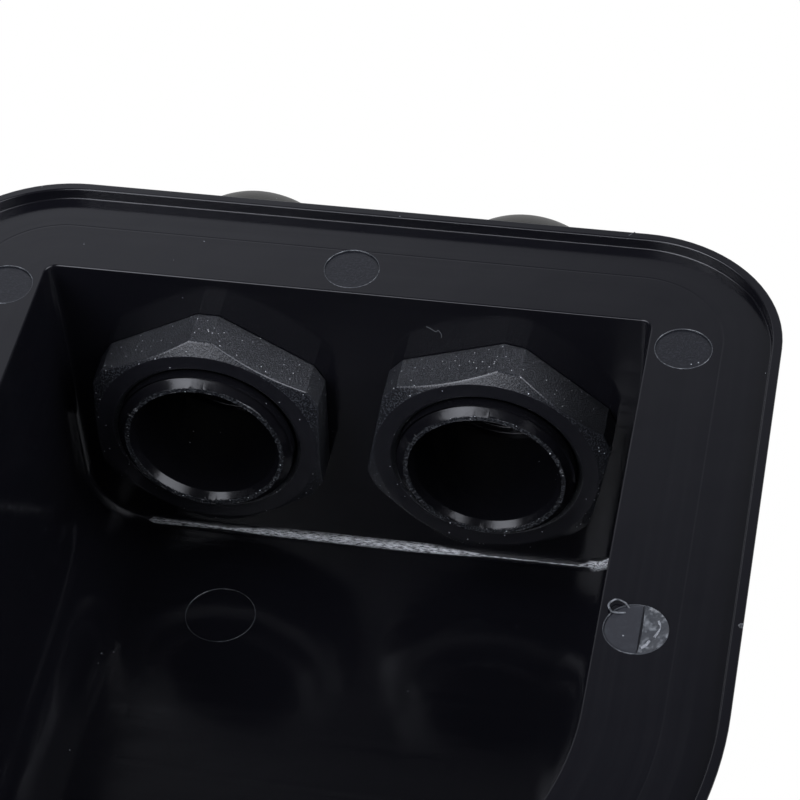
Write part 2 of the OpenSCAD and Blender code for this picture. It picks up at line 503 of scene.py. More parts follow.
def close_tree(tree: bpy.types.NodeTree, geometry: bpy.types.NodeSocket,
               material: bpy.types.NodeSocket) -> None:
    """Ends a geometry tree in real geometry with its finish.

    Args:
        tree: the tree.
        geometry: the geometry to finish.
        material: the input that holds the finish.
    """
    real = add_node(tree, "GeometryNodeRealizeInstances", {"Geometry": geometry})
    dressed = add_node(tree, "GeometryNodeSetMaterial", {"Geometry": real.outputs[0], "Material": material})
    add_node(tree, "NodeGroupOutput", {0: dressed.outputs[0]})


def thread_tree() -> bpy.types.NodeTree:
    """Builds the tree of a screw thread: a tapered ridge that runs along a spiral.

    Returns:
        The tree, whose sizes are in millimetres.
    """
    tree, given = new_tree("screw_thread", {
        "Core Radius": ("NodeSocketFloat", 9.2),
        "Pitch": ("NodeSocketFloat", 1.5),
        "Turns": ("NodeSocketFloat", 4.0),
        "Ridge Height": ("NodeSocketFloat", 0.7),
        "Ridge Root": ("NodeSocketFloat", 1.2),
        "Ridge Crest": ("NodeSocketFloat", 0.3),
        "Steps": ("NodeSocketInt", 72),
        "Material": ("NodeSocketMaterial", None),
    })
    height = add_node(tree, "ShaderNodeMath", {0: given["Pitch"], 1: given["Turns"]}, operation="MULTIPLY")
    half_ridge = add_node(tree, "ShaderNodeMath", {0: given["Ridge Height"], 1: 0.5}, operation="MULTIPLY")
    radius = add_node(tree, "ShaderNodeMath", {
        0: given["Core Radius"], 1: half_ridge.outputs[0],
    }, operation="ADD")
    spiral = add_node(tree, "GeometryNodeCurveSpiral", {
        "Resolution": given["Steps"], "Rotations": given["Turns"], "Start Radius": radius.outputs[0],
        "End Radius": radius.outputs[0], "Height": height.outputs[0], "Reverse": False,
    })
    upright = add_node(tree, "GeometryNodeSetCurveNormal", {"Curve": spiral.outputs[0]}, mode="Z_UP")
    section = add_node(tree, "GeometryNodeCurvePrimitiveQuadrilateral", {
        "Bottom Width": given["Ridge Root"], "Top Width": given["Ridge Crest"],
        "Height": given["Ridge Height"], "Offset": 0.0,
    }, mode="TRAPEZOID")
    outwards = add_node(tree, "GeometryNodeTransform", {
        "Geometry": section.outputs[0], "Rotation": Euler((0, 0, -math.pi / 2)),
    })
    ridge = add_node(tree, "GeometryNodeCurveToMesh", {
        "Curve": upright.outputs[0], "Profile Curve": outwards.outputs[0], "Fill Caps": True,
    })
    close_tree(tree, ridge.outputs[0], given["Material"])
    return tree


def finger_tree() -> bpy.types.NodeTree:
    """Builds the tree that repeats one clamping finger round a gland.

    Returns:
        The tree, which takes the finger's mesh.
    """
    tree, given = new_tree("clamping_fingers", {
        "Count": ("NodeSocketInt", 12),
        "Material": ("NodeSocketMaterial", None),
    })
    step = add_node(tree, "ShaderNodeMath", {0: math.tau, 1: given["Count"]}, operation="DIVIDE")
    index = add_node(tree, "GeometryNodeInputIndex")
    angle = add_node(tree, "ShaderNodeMath", {0: index.outputs[0], 1: step.outputs[0]}, operation="MULTIPLY")
    turn = add_node(tree, "ShaderNodeCombineXYZ", {"Z": angle.outputs[0]})
    places = add_node(tree, "GeometryNodePoints", {"Count": given["Count"]})
    fingers = add_node(tree, "GeometryNodeInstanceOnPoints", {
        "Points": places.outputs[0], "Instance": given["Geometry"], "Rotation": turn.outputs[0],
    })
    close_tree(tree, fingers.outputs[0], given["Material"])
    return tree


def strand_tree() -> bpy.types.NodeTree:
    """Builds the tree of a thin strand that follows a chain of points.

    Returns:
        The tree, which takes the chain as a mesh of edges.
    """
    tree, given = new_tree("thin_strand", {
        "Radius": ("NodeSocketFloat", 0.05),
        "Points": ("NodeSocketInt", 24),
        "Sides": ("NodeSocketInt", 8),
        "Material": ("NodeSocketMaterial", None),
    })
    chain = add_node(tree, "GeometryNodeMeshToCurve", {"Mesh": given["Geometry"]})
    soft = add_node(tree, "GeometryNodeCurveSplineType", {
        "Curve": chain.outputs[0],
    }, spline_type="CATMULL_ROM")
    even = add_node(tree, "GeometryNodeResampleCurve", {"Curve": soft.outputs[0], "Count": given["Points"]})
    section = add_node(tree, "GeometryNodeCurvePrimitiveCircle", {
        "Resolution": given["Sides"], "Radius": given["Radius"],
    })
    strand = add_node(tree, "GeometryNodeCurveToMesh", {
        "Curve": even.outputs[0], "Profile Curve": section.outputs[0], "Fill Caps": True,
    })
    close_tree(tree, strand.outputs[0], given["Material"])
    return tree


def strand(points: Sequence[Corner], radius: float, material: bpy.types.Material) -> bpy.types.Mesh:
    """Grows a thin strand along a few points.

    Args:
        points: the points, in millimetres.
        radius: radius of the strand.
        material: its finish.

    Returns:
        The strand's mesh.
    """
    chain = bpy.data.meshes.new("chain")
    chain.from_pydata(points, [(i, i + 1) for i in range(len(points) - 1)], [])
    return grown("strand", strand_tree(), {"Radius": radius, "Material": material}, chain)


class Finish(ABC):
    """A plastic surface, whose skin its own class draws."""

    name: str
    ior: float

    @abstractmethod
    def skin(self, tree: bpy.types.NodeTree) -> Skin:
        """Draws the skin.

        Args:
            tree: the material's nodes.

        Returns:
            Its colour, roughness and normal.
        """

    def material(self) -> bpy.types.Material:
        """Builds the finish.

        Returns:
            The material.
        """
        material, tree = blank_material(self.name)
        colour, roughness, normal = self.skin(tree)
        shader = add_node(tree, "ShaderNodeBsdfPrincipled", {
            "Base Color": colour, "Roughness": roughness, "Normal": normal, "IOR": self.ior,
        })
        add_node(tree, "ShaderNodeOutputMaterial", {"Surface": shader.outputs[0]})
        return material


@dataclass(frozen=True)
class GlossAbs(Finish):
    """Injection-moulded black ABS from a polished mould.

    It gives the eye a deep black with mirror-like reflections, which faint flow streaks along the walls
    and a slow waviness of the skin disturb, and a few specks of dust.
    """

    name: str = "abs_gloss_black"
    colour: str = "#0e0e12"
    dust_colour: str = "#7d8083"
    ior: float = 1.53
    smooth: float = 0.11
    streaked: float = 0.22
    # Values of the streaks' noise between which the skin goes from smooth to streaked
    streak_from: float = 0.35
    streak_full: float = 0.75
    streak_long_mm: float = 45.0
    streak_wide_mm: float = 1.1
    streak_height_mm: float = 0.004
    wave_mm: float = 9.0
    wave_height_mm: float = 0.03
    dust_cell_mm: float = 1.3
    dust_mm: float = 0.07
    dust_share: float = 0.05

    def skin(self, tree: bpy.types.NodeTree) -> Skin:
        """Draws the skin.

        Args:
            tree: the material's nodes.

        Returns:
            Its colour, roughness and normal.
        """
        place = add_node(tree, "ShaderNodeTexCoord")
        # The UV map is in millimetres: along the wall, then across it
        along = add_node(tree, "ShaderNodeMapping", {
            "Vector": place.outputs["UV"], "Scale": (1 / self.streak_long_mm, 1 / self.streak_wide_mm, 1.0),
        })
        streaks = add_node(tree, "ShaderNodeTexNoise", {
            "Vector": along.outputs[0], "Scale": 1.0, "Detail": 3.0, "Roughness": 0.6,
        })
        gloss = add_node(tree, "ShaderNodeMapRange", {
            "Value": streaks.outputs[0], "From Min": self.streak_from, "From Max": self.streak_full,
            "To Min": self.smooth, "To Max": self.streaked,
        })
        dust = specks(tree, place.outputs["Object"], self.dust_cell_mm, self.dust_mm, self.dust_share)
        skin = add_node(tree, "ShaderNodeMix", {
            0: dust, 6: linear(self.colour), 7: linear(self.dust_colour),
        }, data_type="RGBA")
        wave = add_node(tree, "ShaderNodeTexNoise", {
            "Vector": place.outputs["Object"], "Scale": 1 / (self.wave_mm * MM), "Detail": 2.0,
        })
        slow = add_node(tree, "ShaderNodeBump", {
            "Height": wave.outputs[0], "Strength": 1.0, "Distance": self.wave_height_mm * MM,
        })
        fine = add_node(tree, "ShaderNodeBump", {
            "Height": streaks.outputs[0], "Strength": 1.0, "Distance": self.streak_height_mm * MM,
            "Normal": slow.outputs[0],
        })
        return skin.outputs[2], gloss.outputs[0], fine.outputs[0]


@dataclass(frozen=True)
class GrainedPlastic(Finish):
    """Black plastic from a spark-eroded or worn mould face.

    It gives the eye a soft grey sheen that breaks up into fine sparkling grain, with dust in it.
    """

    name: str
    colour: str
    peak_colour: str
    dust_colour: str
    roughness: float
    grain_mm: float
    grain_height_mm: float
    dust_share: float
    dust_cell_mm: float = 0.7
    dust_mm: float = 0.08
    ior: float = 1.53
    # Values of the grain's noise between which the colour goes to that of the peaks
    peak_from: float = 0.5
    peak_full: float = 0.72

    def skin(self, tree: bpy.types.NodeTree) -> Skin:
        """Draws the skin.

        Args:
            tree: the material's nodes.

        Returns:
            Its colour, roughness and normal.
        """
        place = add_node(tree, "ShaderNodeTexCoord")
        grain = add_node(tree, "ShaderNodeTexNoise", {
            "Vector": place.outputs["Object"], "Scale": 1 / (self.grain_mm * MM), "Detail": 2.0,
            "Roughness": 0.7,
        })
        bump = add_node(tree, "ShaderNodeBump", {
            "Height": grain.outputs[0], "Strength": 1.0, "Distance": self.grain_height_mm * MM,
        })
        peaks = add_node(tree, "ShaderNodeMapRange", {
            "Value": grain.outputs[0], "From Min": self.peak_from, "From Max": self.peak_full,
        })
        body = add_node(tree, "ShaderNodeMix", {
            0: peaks.outputs[0], 6: linear(self.colour), 7: linear(self.peak_colour),
        }, data_type="RGBA")
        dust = specks(tree, place.outputs["Object"], self.dust_cell_mm, self.dust_mm, self.dust_share)
        skin = add_node(tree, "ShaderNodeMix", {
            0: dust, 6: body.outputs[2], 7: linear(self.dust_colour),
        }, data_type="RGBA")
        return skin.outputs[2], self.roughness, bump.outputs[0]


@dataclass(frozen=True)
class FilletPaintedHighlight(Finish):
    """The fillet along the end wall, whose highlight is painted into its colour.

    It gives the eye thin pale streaks of painted highlight along the fillet, where its normal leans towards
    the light, strong on some stretches and gone on others.
    """

    name: str = "abs_fillet_painted_highlight"
    colour: str = "#0d0d12"
    highlight_colour: str = "#eceef0"
    ior: float = 1.53
    roughness: float = 0.16
    streak_long_mm: float = 0.8
    streak_wide_mm: float = 0.09
    # Values of the streaks' noise between which the skin goes from dark to the painted highlight
    streak_from: float = 0.4
    streak_full: float = 0.57
    grain_height_mm: float = 0.04
    half_mm: float = 33.0
    # Lean of the fillet's normal at the middle of the painted highlight band, how far the band reaches to
    #     # either side, and the share of that reach where it is full
    lean: float = 0.62
    reach: float = 0.46
    core: float = 0.6
    # Place along the fillet and share of the band that carries the painted highlight there
    stretches: tuple[Spot, ...] = (
        (-25.6, 0.0), (-25.0, 0.75), (-19.0, 0.5), (-16.0, 0.3), (-11.5, 0.8), (-4.0, 1.0), (7.0, 1.0),
        (13.0, 0.5), (15.0, 0.15), (25.0, 0.15), (27.0, 1.3),
    )

    def band(self, tree: bpy.types.NodeTree, x: bpy.types.NodeSocket) -> bpy.types.NodeSocket:
        """Finds the band of the fillet that carries the painted highlight, by the lean of its normal, wider
        on some stretches than on others.

        Args:
            tree: the node tree.
            x: place along the fillet, in metres.

        Returns:
            One in the band, zero beside it.
        """
        along = add_node(tree, "ShaderNodeMapRange", {
            "Value": x, "From Min": -self.half_mm * MM, "From Max": self.half_mm * MM,
        })
        ramp = add_node(tree, "ShaderNodeValToRGB", {0: along.outputs[0]})
        stops = ramp.color_ramp.elements
        while len(stops) < len(self.stretches):
            stops.new(1.0)
        for stop, (place, share) in zip(stops, self.stretches):
            stop.position = (place + self.half_mm) / (2 * self.half_mm)
            stop.color = (share, share, share, 1.0)
        facing = add_node(tree, "ShaderNodeNewGeometry")
        normal = add_node(tree, "ShaderNodeSeparateXYZ", {0: facing.outputs["Normal"]})
        off = add_node(tree, "ShaderNodeMath", {0: normal.outputs["Y"], 1: self.lean}, operation="SUBTRACT")
        away = add_node(tree, "ShaderNodeMath", {0: off.outputs[0]}, operation="ABSOLUTE")
        outer = add_node(tree, "ShaderNodeMath", {0: ramp.outputs[0], 1: self.reach}, operation="MULTIPLY")
        inner = add_node(tree, "ShaderNodeMath", {0: outer.outputs[0], 1: self.core}, operation="MULTIPLY")
        band = add_node(tree, "ShaderNodeMapRange", {
            "Value": away.outputs[0], "From Min": outer.outputs[0], "From Max": inner.outputs[0],
        })
        return band.outputs[0]

    def skin(self, tree: bpy.types.NodeTree) -> Skin:
        """Draws the skin.

        Args:
            tree: the material's nodes.

        Returns:
            Its colour, roughness and normal.
        """
        place = add_node(tree, "ShaderNodeTexCoord")
        parts = add_node(tree, "ShaderNodeSeparateXYZ", {0: place.outputs["Object"]})
        wide = 1 / (self.streak_wide_mm * MM)
        stretch = add_node(tree, "ShaderNodeMapping", {
            "Vector": place.outputs["Object"], "Scale": (1 / (self.streak_long_mm * MM), wide, wide),
        })
        streaks = add_node(tree, "ShaderNodeTexNoise", {
            "Vector": stretch.outputs[0], "Scale": 1.0, "Detail": 3.0, "Roughness": 0.75,
        })
        streak_highlight = add_node(tree, "ShaderNodeMapRange", {
            "Value": streaks.outputs[0], "From Min": self.streak_from, "From Max": self.streak_full,
        })
        share = add_node(tree, "ShaderNodeMath", {
            0: streak_highlight.outputs[0], 1: self.band(tree, parts.outputs["X"]),
        }, operation="MULTIPLY")
        # Painted highlight: pale streaks mixed into the colour on the band where the fillet's normal leans
        # towards the light
        skin = add_node(tree, "ShaderNodeMix", {
            0: share.outputs[0], 6: linear(self.colour), 7: linear(self.highlight_colour),
        }, data_type="RGBA")
        bump = add_node(tree, "ShaderNodeBump", {
            "Height": streaks.outputs[0], "Strength": 1.0, "Distance": self.grain_height_mm * MM,
        })
        return skin.outputs[2], self.roughness, bump.outputs[0]


# ABS from the polished mould: deep black and glossy
ABS = GlossAbs()
# ABS along the end wall, with a painted highlight: pale streaks on the fillet
FILLET_HIGHLIGHT = FilletPaintedHighlight()
# ABS that the ejector pins' ground ends pressed: a duller, slightly lighter disc
PIN_MARK = GrainedPlastic(
    "abs_ejector_pin_mark", "#17181c", "#26272c", "#8d9093",
    roughness=0.3, grain_mm=0.25, grain_height_mm=0.02, dust_share=0.06,
)
# ABS of the ejector mark that lifted: an even dark grey flap
ABS_FLAP = GrainedPlastic(
    "abs_ejector_flap", "#2c2d31", "#313337", "#8d9093",
    roughness=0.24, grain_mm=0.8, grain_height_mm=0.01, dust_share=0.02,
)
# ABS that tore: a rough grey break
ABS_TORN = GrainedPlastic(
    "abs_torn_grey", "#393b3e", "#74777a", "#a4a7aa",
    roughness=0.34, grain_mm=1.1, grain_height_mm=0.2, dust_share=0.02,
)
# ABS painted white as a highlight: bright slivers that stand in for the torn mark's glints
ABS_PAINTED_GLINT = GrainedPlastic(
    "abs_painted_glint", "#77797c", "#c2c5c8", "#d8dadc",
    roughness=0.3, grain_mm=0.5, grain_height_mm=0.1, dust_share=0.0,
)
# Polyamide from a spark-eroded mould: a grey sparkle, whose grain is drawn coarser than life so that it shows
NYLON = GrainedPlastic(
    "nylon_spark_eroded_black", "#17181b", "#4b4d51", "#d0d3d6",
    roughness=0.32, grain_mm=0.19, grain_height_mm=0.16, dust_share=0.4, dust_cell_mm=0.5, dust_mm=0.065,
)
# Polyamide from a finer mould face, on the nuts' flat faces: an even satin black
NYLON_SATIN = GrainedPlastic(
    "nylon_satin_black", "#141418", "#1f2024", "#c4c7ca",
    roughness=0.22, grain_mm=0.22, grain_height_mm=0.03, dust_share=0.2, dust_mm=0.07,
)
# Polyamide from a blasted mould face, on the cap nuts: a black with hardly a shine
NYLON_MATT = GrainedPlastic(
    "nylon_matt_black", "#141418", "#1d1e22", "#c4c7ca",
    roughness=0.5, grain_mm=0.22, grain_height_mm=0.03, dust_share=0.15, dust_mm=0.07,
)
# Spark-eroded polyamide that a wrench rubbed, on the nuts' chamfers: the same grain, flatter and shinier
NYLON_RUBBED = GrainedPlastic(
    "nylon_rubbed_black", "#17181b", "#3e4044", "#d0d3d6",
    roughness=0.24, grain_mm=0.19, grain_height_mm=0.045, dust_share=0.3, dust_cell_mm=0.5, dust_mm=0.065,
)
# Polyamide worn along the nuts' edges: a thin grey line
NYLON_EDGE = GrainedPlastic(
    "nylon_worn_edge", "#1e1f22", "#3c3e42", "#c4c7ca",
    roughness=0.2, grain_mm=0.2, grain_height_mm=0.03, dust_share=0.1,
)
# Polyamide from polished thread inserts, on the tubes: a clean dark gloss
NYLON_SMOOTH = GrainedPlastic(
    "nylon_polished_black", "#0b0b0e", "#0e0e11", "#9a9da0",
    roughness=0.19, grain_mm=0.6, grain_height_mm=0.01, dust_share=0.03, ior=1.43,
)
# Polyamide where the tube was cut off its sprue: a ragged grey rim
NYLON_TORN = GrainedPlastic(
    "nylon_cut_edge", "#1b1c1f", "#4d5053", "#d0d3d6",
    roughness=0.24, grain_mm=0.3, grain_height_mm=0.1, dust_share=0.2, dust_cell_mm=0.45,
)
# Moulded rubber of gaskets and seals: a dull, deep black
RUBBER = GrainedPlastic(
    "rubber_moulded_black", "#0b0b0c", "#101011", "#55575a",
    roughness=0.62, grain_mm=0.3, grain_height_mm=0.02, dust_share=0.03, ior=1.5,
)
# Cotton lint that lies on the wall: a thin dull grey thread
LINT = GrainedPlastic(
    "cotton_lint", "#4d5052", "#5d6062", "#9a9da0",
    roughness=0.8, grain_mm=0.1, grain_height_mm=0.01, dust_share=0.0, ior=1.5,
)

# Finishes of the hood in the order of its list, and all those of the glands
HOOD_LOOKS: tuple[Finish, ...] = (ABS, PIN_MARK, FILLET_HIGHLIGHT, ABS_TORN, ABS_FLAP, ABS_PAINTED_GLINT, LINT)
GLAND_LOOKS: tuple[GrainedPlastic, ...] = (
    NYLON, NYLON_SATIN, NYLON_MATT, NYLON_RUBBED, NYLON_EDGE, NYLON_SMOOTH, NYLON_TORN, RUBBER,
)


def on_hood(look: Finish) -> int:
    """Place of a finish in the hood's list."""
    return HOOD_LOOKS.index(look)


@dataclass(frozen=True)
class Frame:
    """Places that the meshes share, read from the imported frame.

    The heights of the gland pieces run outwards from the inner face of the end wall.
    """

    gland_x: float
    gland_z: float
    end_wall_y: float
    wall: float
    tube_reach: float
    nut_t: float
    collar_z: float
    tip_z: float
    seal_z: float
    seal_end_z: float
    cap_z: float
    cap_end_z: float
    flange_half: float
    gland_end_y: float
    nose_end_y: float
    hood_h: float

    @classmethod
    def read(cls) -> "Frame":
        """Measures the frame's nodes.

        Returns:
            The places, in millimetres.
        """
        box, nut, body, gasket, seal, cap = (
            [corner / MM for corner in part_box(node)]
            for node in ("box_body", "lock_nut_right", "gland_body_right", "gasket_right", "seal_right",
                         "cap_nut_right")
        )
        turn = next(joint for joint in frame["joints"] if joint["name"] == "right_cap_turn")
        wall_y = nut[0].y
        return cls(
            gland_x=turn["pos_m"][0] / MM, gland_z=turn["pos_m"][2] / MM, end_wall_y=wall_y,
            wall=wall_y - gasket[1].y, tube_reach=body[1].y - wall_y, nut_t=nut[1].y - wall_y,
            collar_z=wall_y - gasket[0].y, tip_z=wall_y - body[0].y, seal_z=wall_y - seal[1].y,
            seal_end_z=wall_y - seal[0].y, cap_z=wall_y - cap[1].y, cap_end_z=wall_y - cap[0].y,
            flange_half=box[1].x, gland_end_y=box[0].y, nose_end_y=box[1].y, hood_h=box[1].z,
        )

    @property
    def nose_y(self) -> float:
        """Centre of the round nose."""
        return self.nose_end_y - self.flange_half

    @property
    def ceiling_z(self) -> float:
        """Height of the cavity's level ceiling."""
        return self.hood_h - self.wall

    def at_gland(self, side: Side, points: np.ndarray) -> np.ndarray:
        """Puts a gland piece, drawn outwards along +Z, in its hole.

        Args:
            side: the gland.
            points: the piece's points, in any array whose last axis is X, Y and Z.

        Returns:
            The points at their place.
        """
        x, y, z = np.moveaxis(points, -1, 0)
        return np.stack([side.value * self.gland_x + x, self.end_wall_y - z, self.gland_z + y], axis=-1)


@dataclass(frozen=True)
class PinMark:
    """A round mark that an ejector pin left, and the thin flash round it, highest on two sides.

    Where its height is less than nothing, the flash is missing.
    """

    x: float
    y: float
    z: float
    diameter: float
    flash: float = 0.05
    least: float = 0.4
    phase: float = 0.0
    look: Finish = PIN_MARK

    @property
    def centre(self) -> np.ndarray:
        """Middle of the mark on the flat plan."""
        return np.array([self.x, self.y, 0.0])

    def lift(self, angle: float) -> float:
        """Height of the flash at an angle round the mark."""
        wave = 0.5 + 0.5 * math.cos(2 * angle - self.phase)
        return self.flash * (self.least + (1 - self.least) * wave)


@dataclass
class Blemishes:
    """The tear, burr, scratch and lint that the hood in the photograph shows, joined to the hood."""

    torn: PinMark
    wall_y: float
    finishes: list[bpy.types.Material]
    # Distance of the straight tear from the middle of the torn mark
    chord: float = 0.45
    flap_lift: float = 0.06
    flap_tilt: float = -0.06
    flap_sunk: float = 0.2
    flap_edge: float = 0.05
    flap_leg: float = 0.4
    flap_points: int = 48
    tear_depth: float = 0.1
    tear_rise: float = 0.24
    tear_rough: float = 0.07
    tear_points: int = 40
    tear_rows: int = 12
    burr_r: float = 0.1
    sliver_r: float = 0.17
    # Share of its radius by which a sliver is sunk in the skin
    sliver_sunk: float = 0.65
    lint_r: float = 0.04
    scratch_r: float = 0.06
    # Courses of the burr and of the slivers that carry the painted highlight, from the middle of the torn
    # mark
    burr: tuple[Corner, ...] = (
        (-1.2, -2.0, 0.05), (-2.4, -1.7, -0.25), (-2.9, -2.4, -0.4), (-2.3, -3.2, -0.4), (-1.4, -3.0, -0.3),
        (-0.9, -2.6, 0.05),
    )
    slivers: tuple[tuple[Spot, ...], ...] = (
        ((2.1, -1.4), (2.35, -0.4), (1.9, 0.7)), ((1.5, 1.2), (1.2, 1.8), (0.8, 2.2)),
    )
    # Course of the scratch on the flange, and across and up the end wall that of the lint
    scratch: tuple[Corner, ...] = ((29.0, -55.6, 0.02), (29.3, -55.9, 0.02), (29.6, -56.2, 0.02))
    lint: tuple[Spot, ...] = ((8.7, 5.3), (9.1, 5.5), (9.7, 5.9), (10.0, 5.7), (10.3, 6.2), (10.3, 6.7))

    @property
    def edge_deg(self) -> float:
        """Angle at which the straight tear meets the torn mark's circle."""
        return math.degrees(math.acos(self.chord / (self.torn.diameter / 2)))

    def arc(self, start_deg: float, end_deg: float, count: int) -> np.ndarray:
        """Points on the torn mark's circle between two angles.

        Args:
            start_deg: the first angle.
            end_deg: the last angle.
            count: number of points.

        Returns:
            The points, from the middle of the mark.
        """
        angles = np.radians(np.linspace(start_deg, end_deg, count))
        radius = self.torn.diameter / 2
        return np.stack([radius * np.cos(angles), radius * np.sin(angles)], axis=1)

    def flap(self, draft: MeshDraft) -> None:
        """Adds the part of the torn mark that stands proud, up to a straight tear.

        Args:
            draft: the draft of the blemishes.
        """
        shape = subdivided(self.arc(self.edge_deg, 360 - self.edge_deg, self.flap_points), self.flap_leg)
        middle = np.array([-self.chord, 0.0])
        base, top = self.torn.z + self.flap_sunk, self.torn.z - self.flap_lift
        side = top + self.flap_edge
        rows = []
        for share, z in ((0.0, base), (1.0, base), (1.0, side), (0.96, top), (0.9, top), (0.0, top)):
            flat = middle + (shape - middle) * share
            rows.append(np.column_stack([flat, z + self.flap_tilt * flat[:, 0]]))
        draft.net(np.stack(rows) + self.torn.centre, close_columns=True, finish=on_hood(ABS_FLAP))

    def tear(self, draft: MeshDraft) -> None:
        """Adds the rough crescent beside the tear, with its raised lip.

        Args:
            draft: the draft of the blemishes.
        """
        arc = self.arc(-self.edge_deg, self.edge_deg, self.tear_points)
        line = np.stack([np.full(len(arc), self.chord), arc[:, 1]], axis=1)
        draw = np.random.default_rng(3)
        blur = np.ones(5) / 3
        samples = len(arc) + len(blur) - 1
        rows = []
        for share in np.linspace(0.08, 1.04, self.tear_rows):
            flat = line + (arc - line) * share
            depth = self.tear_depth - self.tear_rise * share ** 2
            rough = np.convolve(draw.uniform(-self.tear_rough, self.tear_rough, samples), blur, "valid")
            fade = math.sin(math.pi * min(share, 1.0))
            rows.append(np.column_stack([flat, self.torn.z + depth + rough * fade]))
        rows.append(np.column_stack([arc * 1.05, np.full(len(arc), self.torn.z + self.tear_depth)]))
        draft.net(np.stack(rows) + self.torn.centre, finish=on_hood(ABS_TORN))

    def strands(self) -> list[tuple[GrainedPlastic, float, list[Corner]]]:
        """Lists the thin strands: the burr, the slivers of painted highlight, the scratch and the lint.

        Returns:
            Finish, radius and course of each.
        """
        x, y, z = self.torn.x, self.torn.y, self.torn.z
        sunk = z + self.sliver_sunk * self.sliver_r
        return [
            (ABS_TORN, self.burr_r, [(x + dx, y + dy, z + dz) for dx, dy, dz in self.burr]),
            # Slivers painted white as the torn mark's highlights
            *((ABS_PAINTED_GLINT, self.sliver_r, [(x + dx, y + dy, sunk) for dx, dy in course])
              for course in self.slivers),
            (ABS_TORN, self.scratch_r, list(self.scratch)),
            (LINT, self.lint_r, [(across, self.wall_y + self.lint_r, up) for across, up in self.lint]),
        ]

    def build(self) -> bpy.types.Object:
        """Builds the blemishes.

        Returns:
            One object, to be joined to the hood.
        """
        draft = MeshDraft()
        self.flap(draft)
        self.tear(draft)
        for look, radius, course in self.strands():
            finish = on_hood(look)
            draft.take(strand(course, radius, self.finishes[finish]), finish)
        return draft.piece("blemishes", self.finishes)


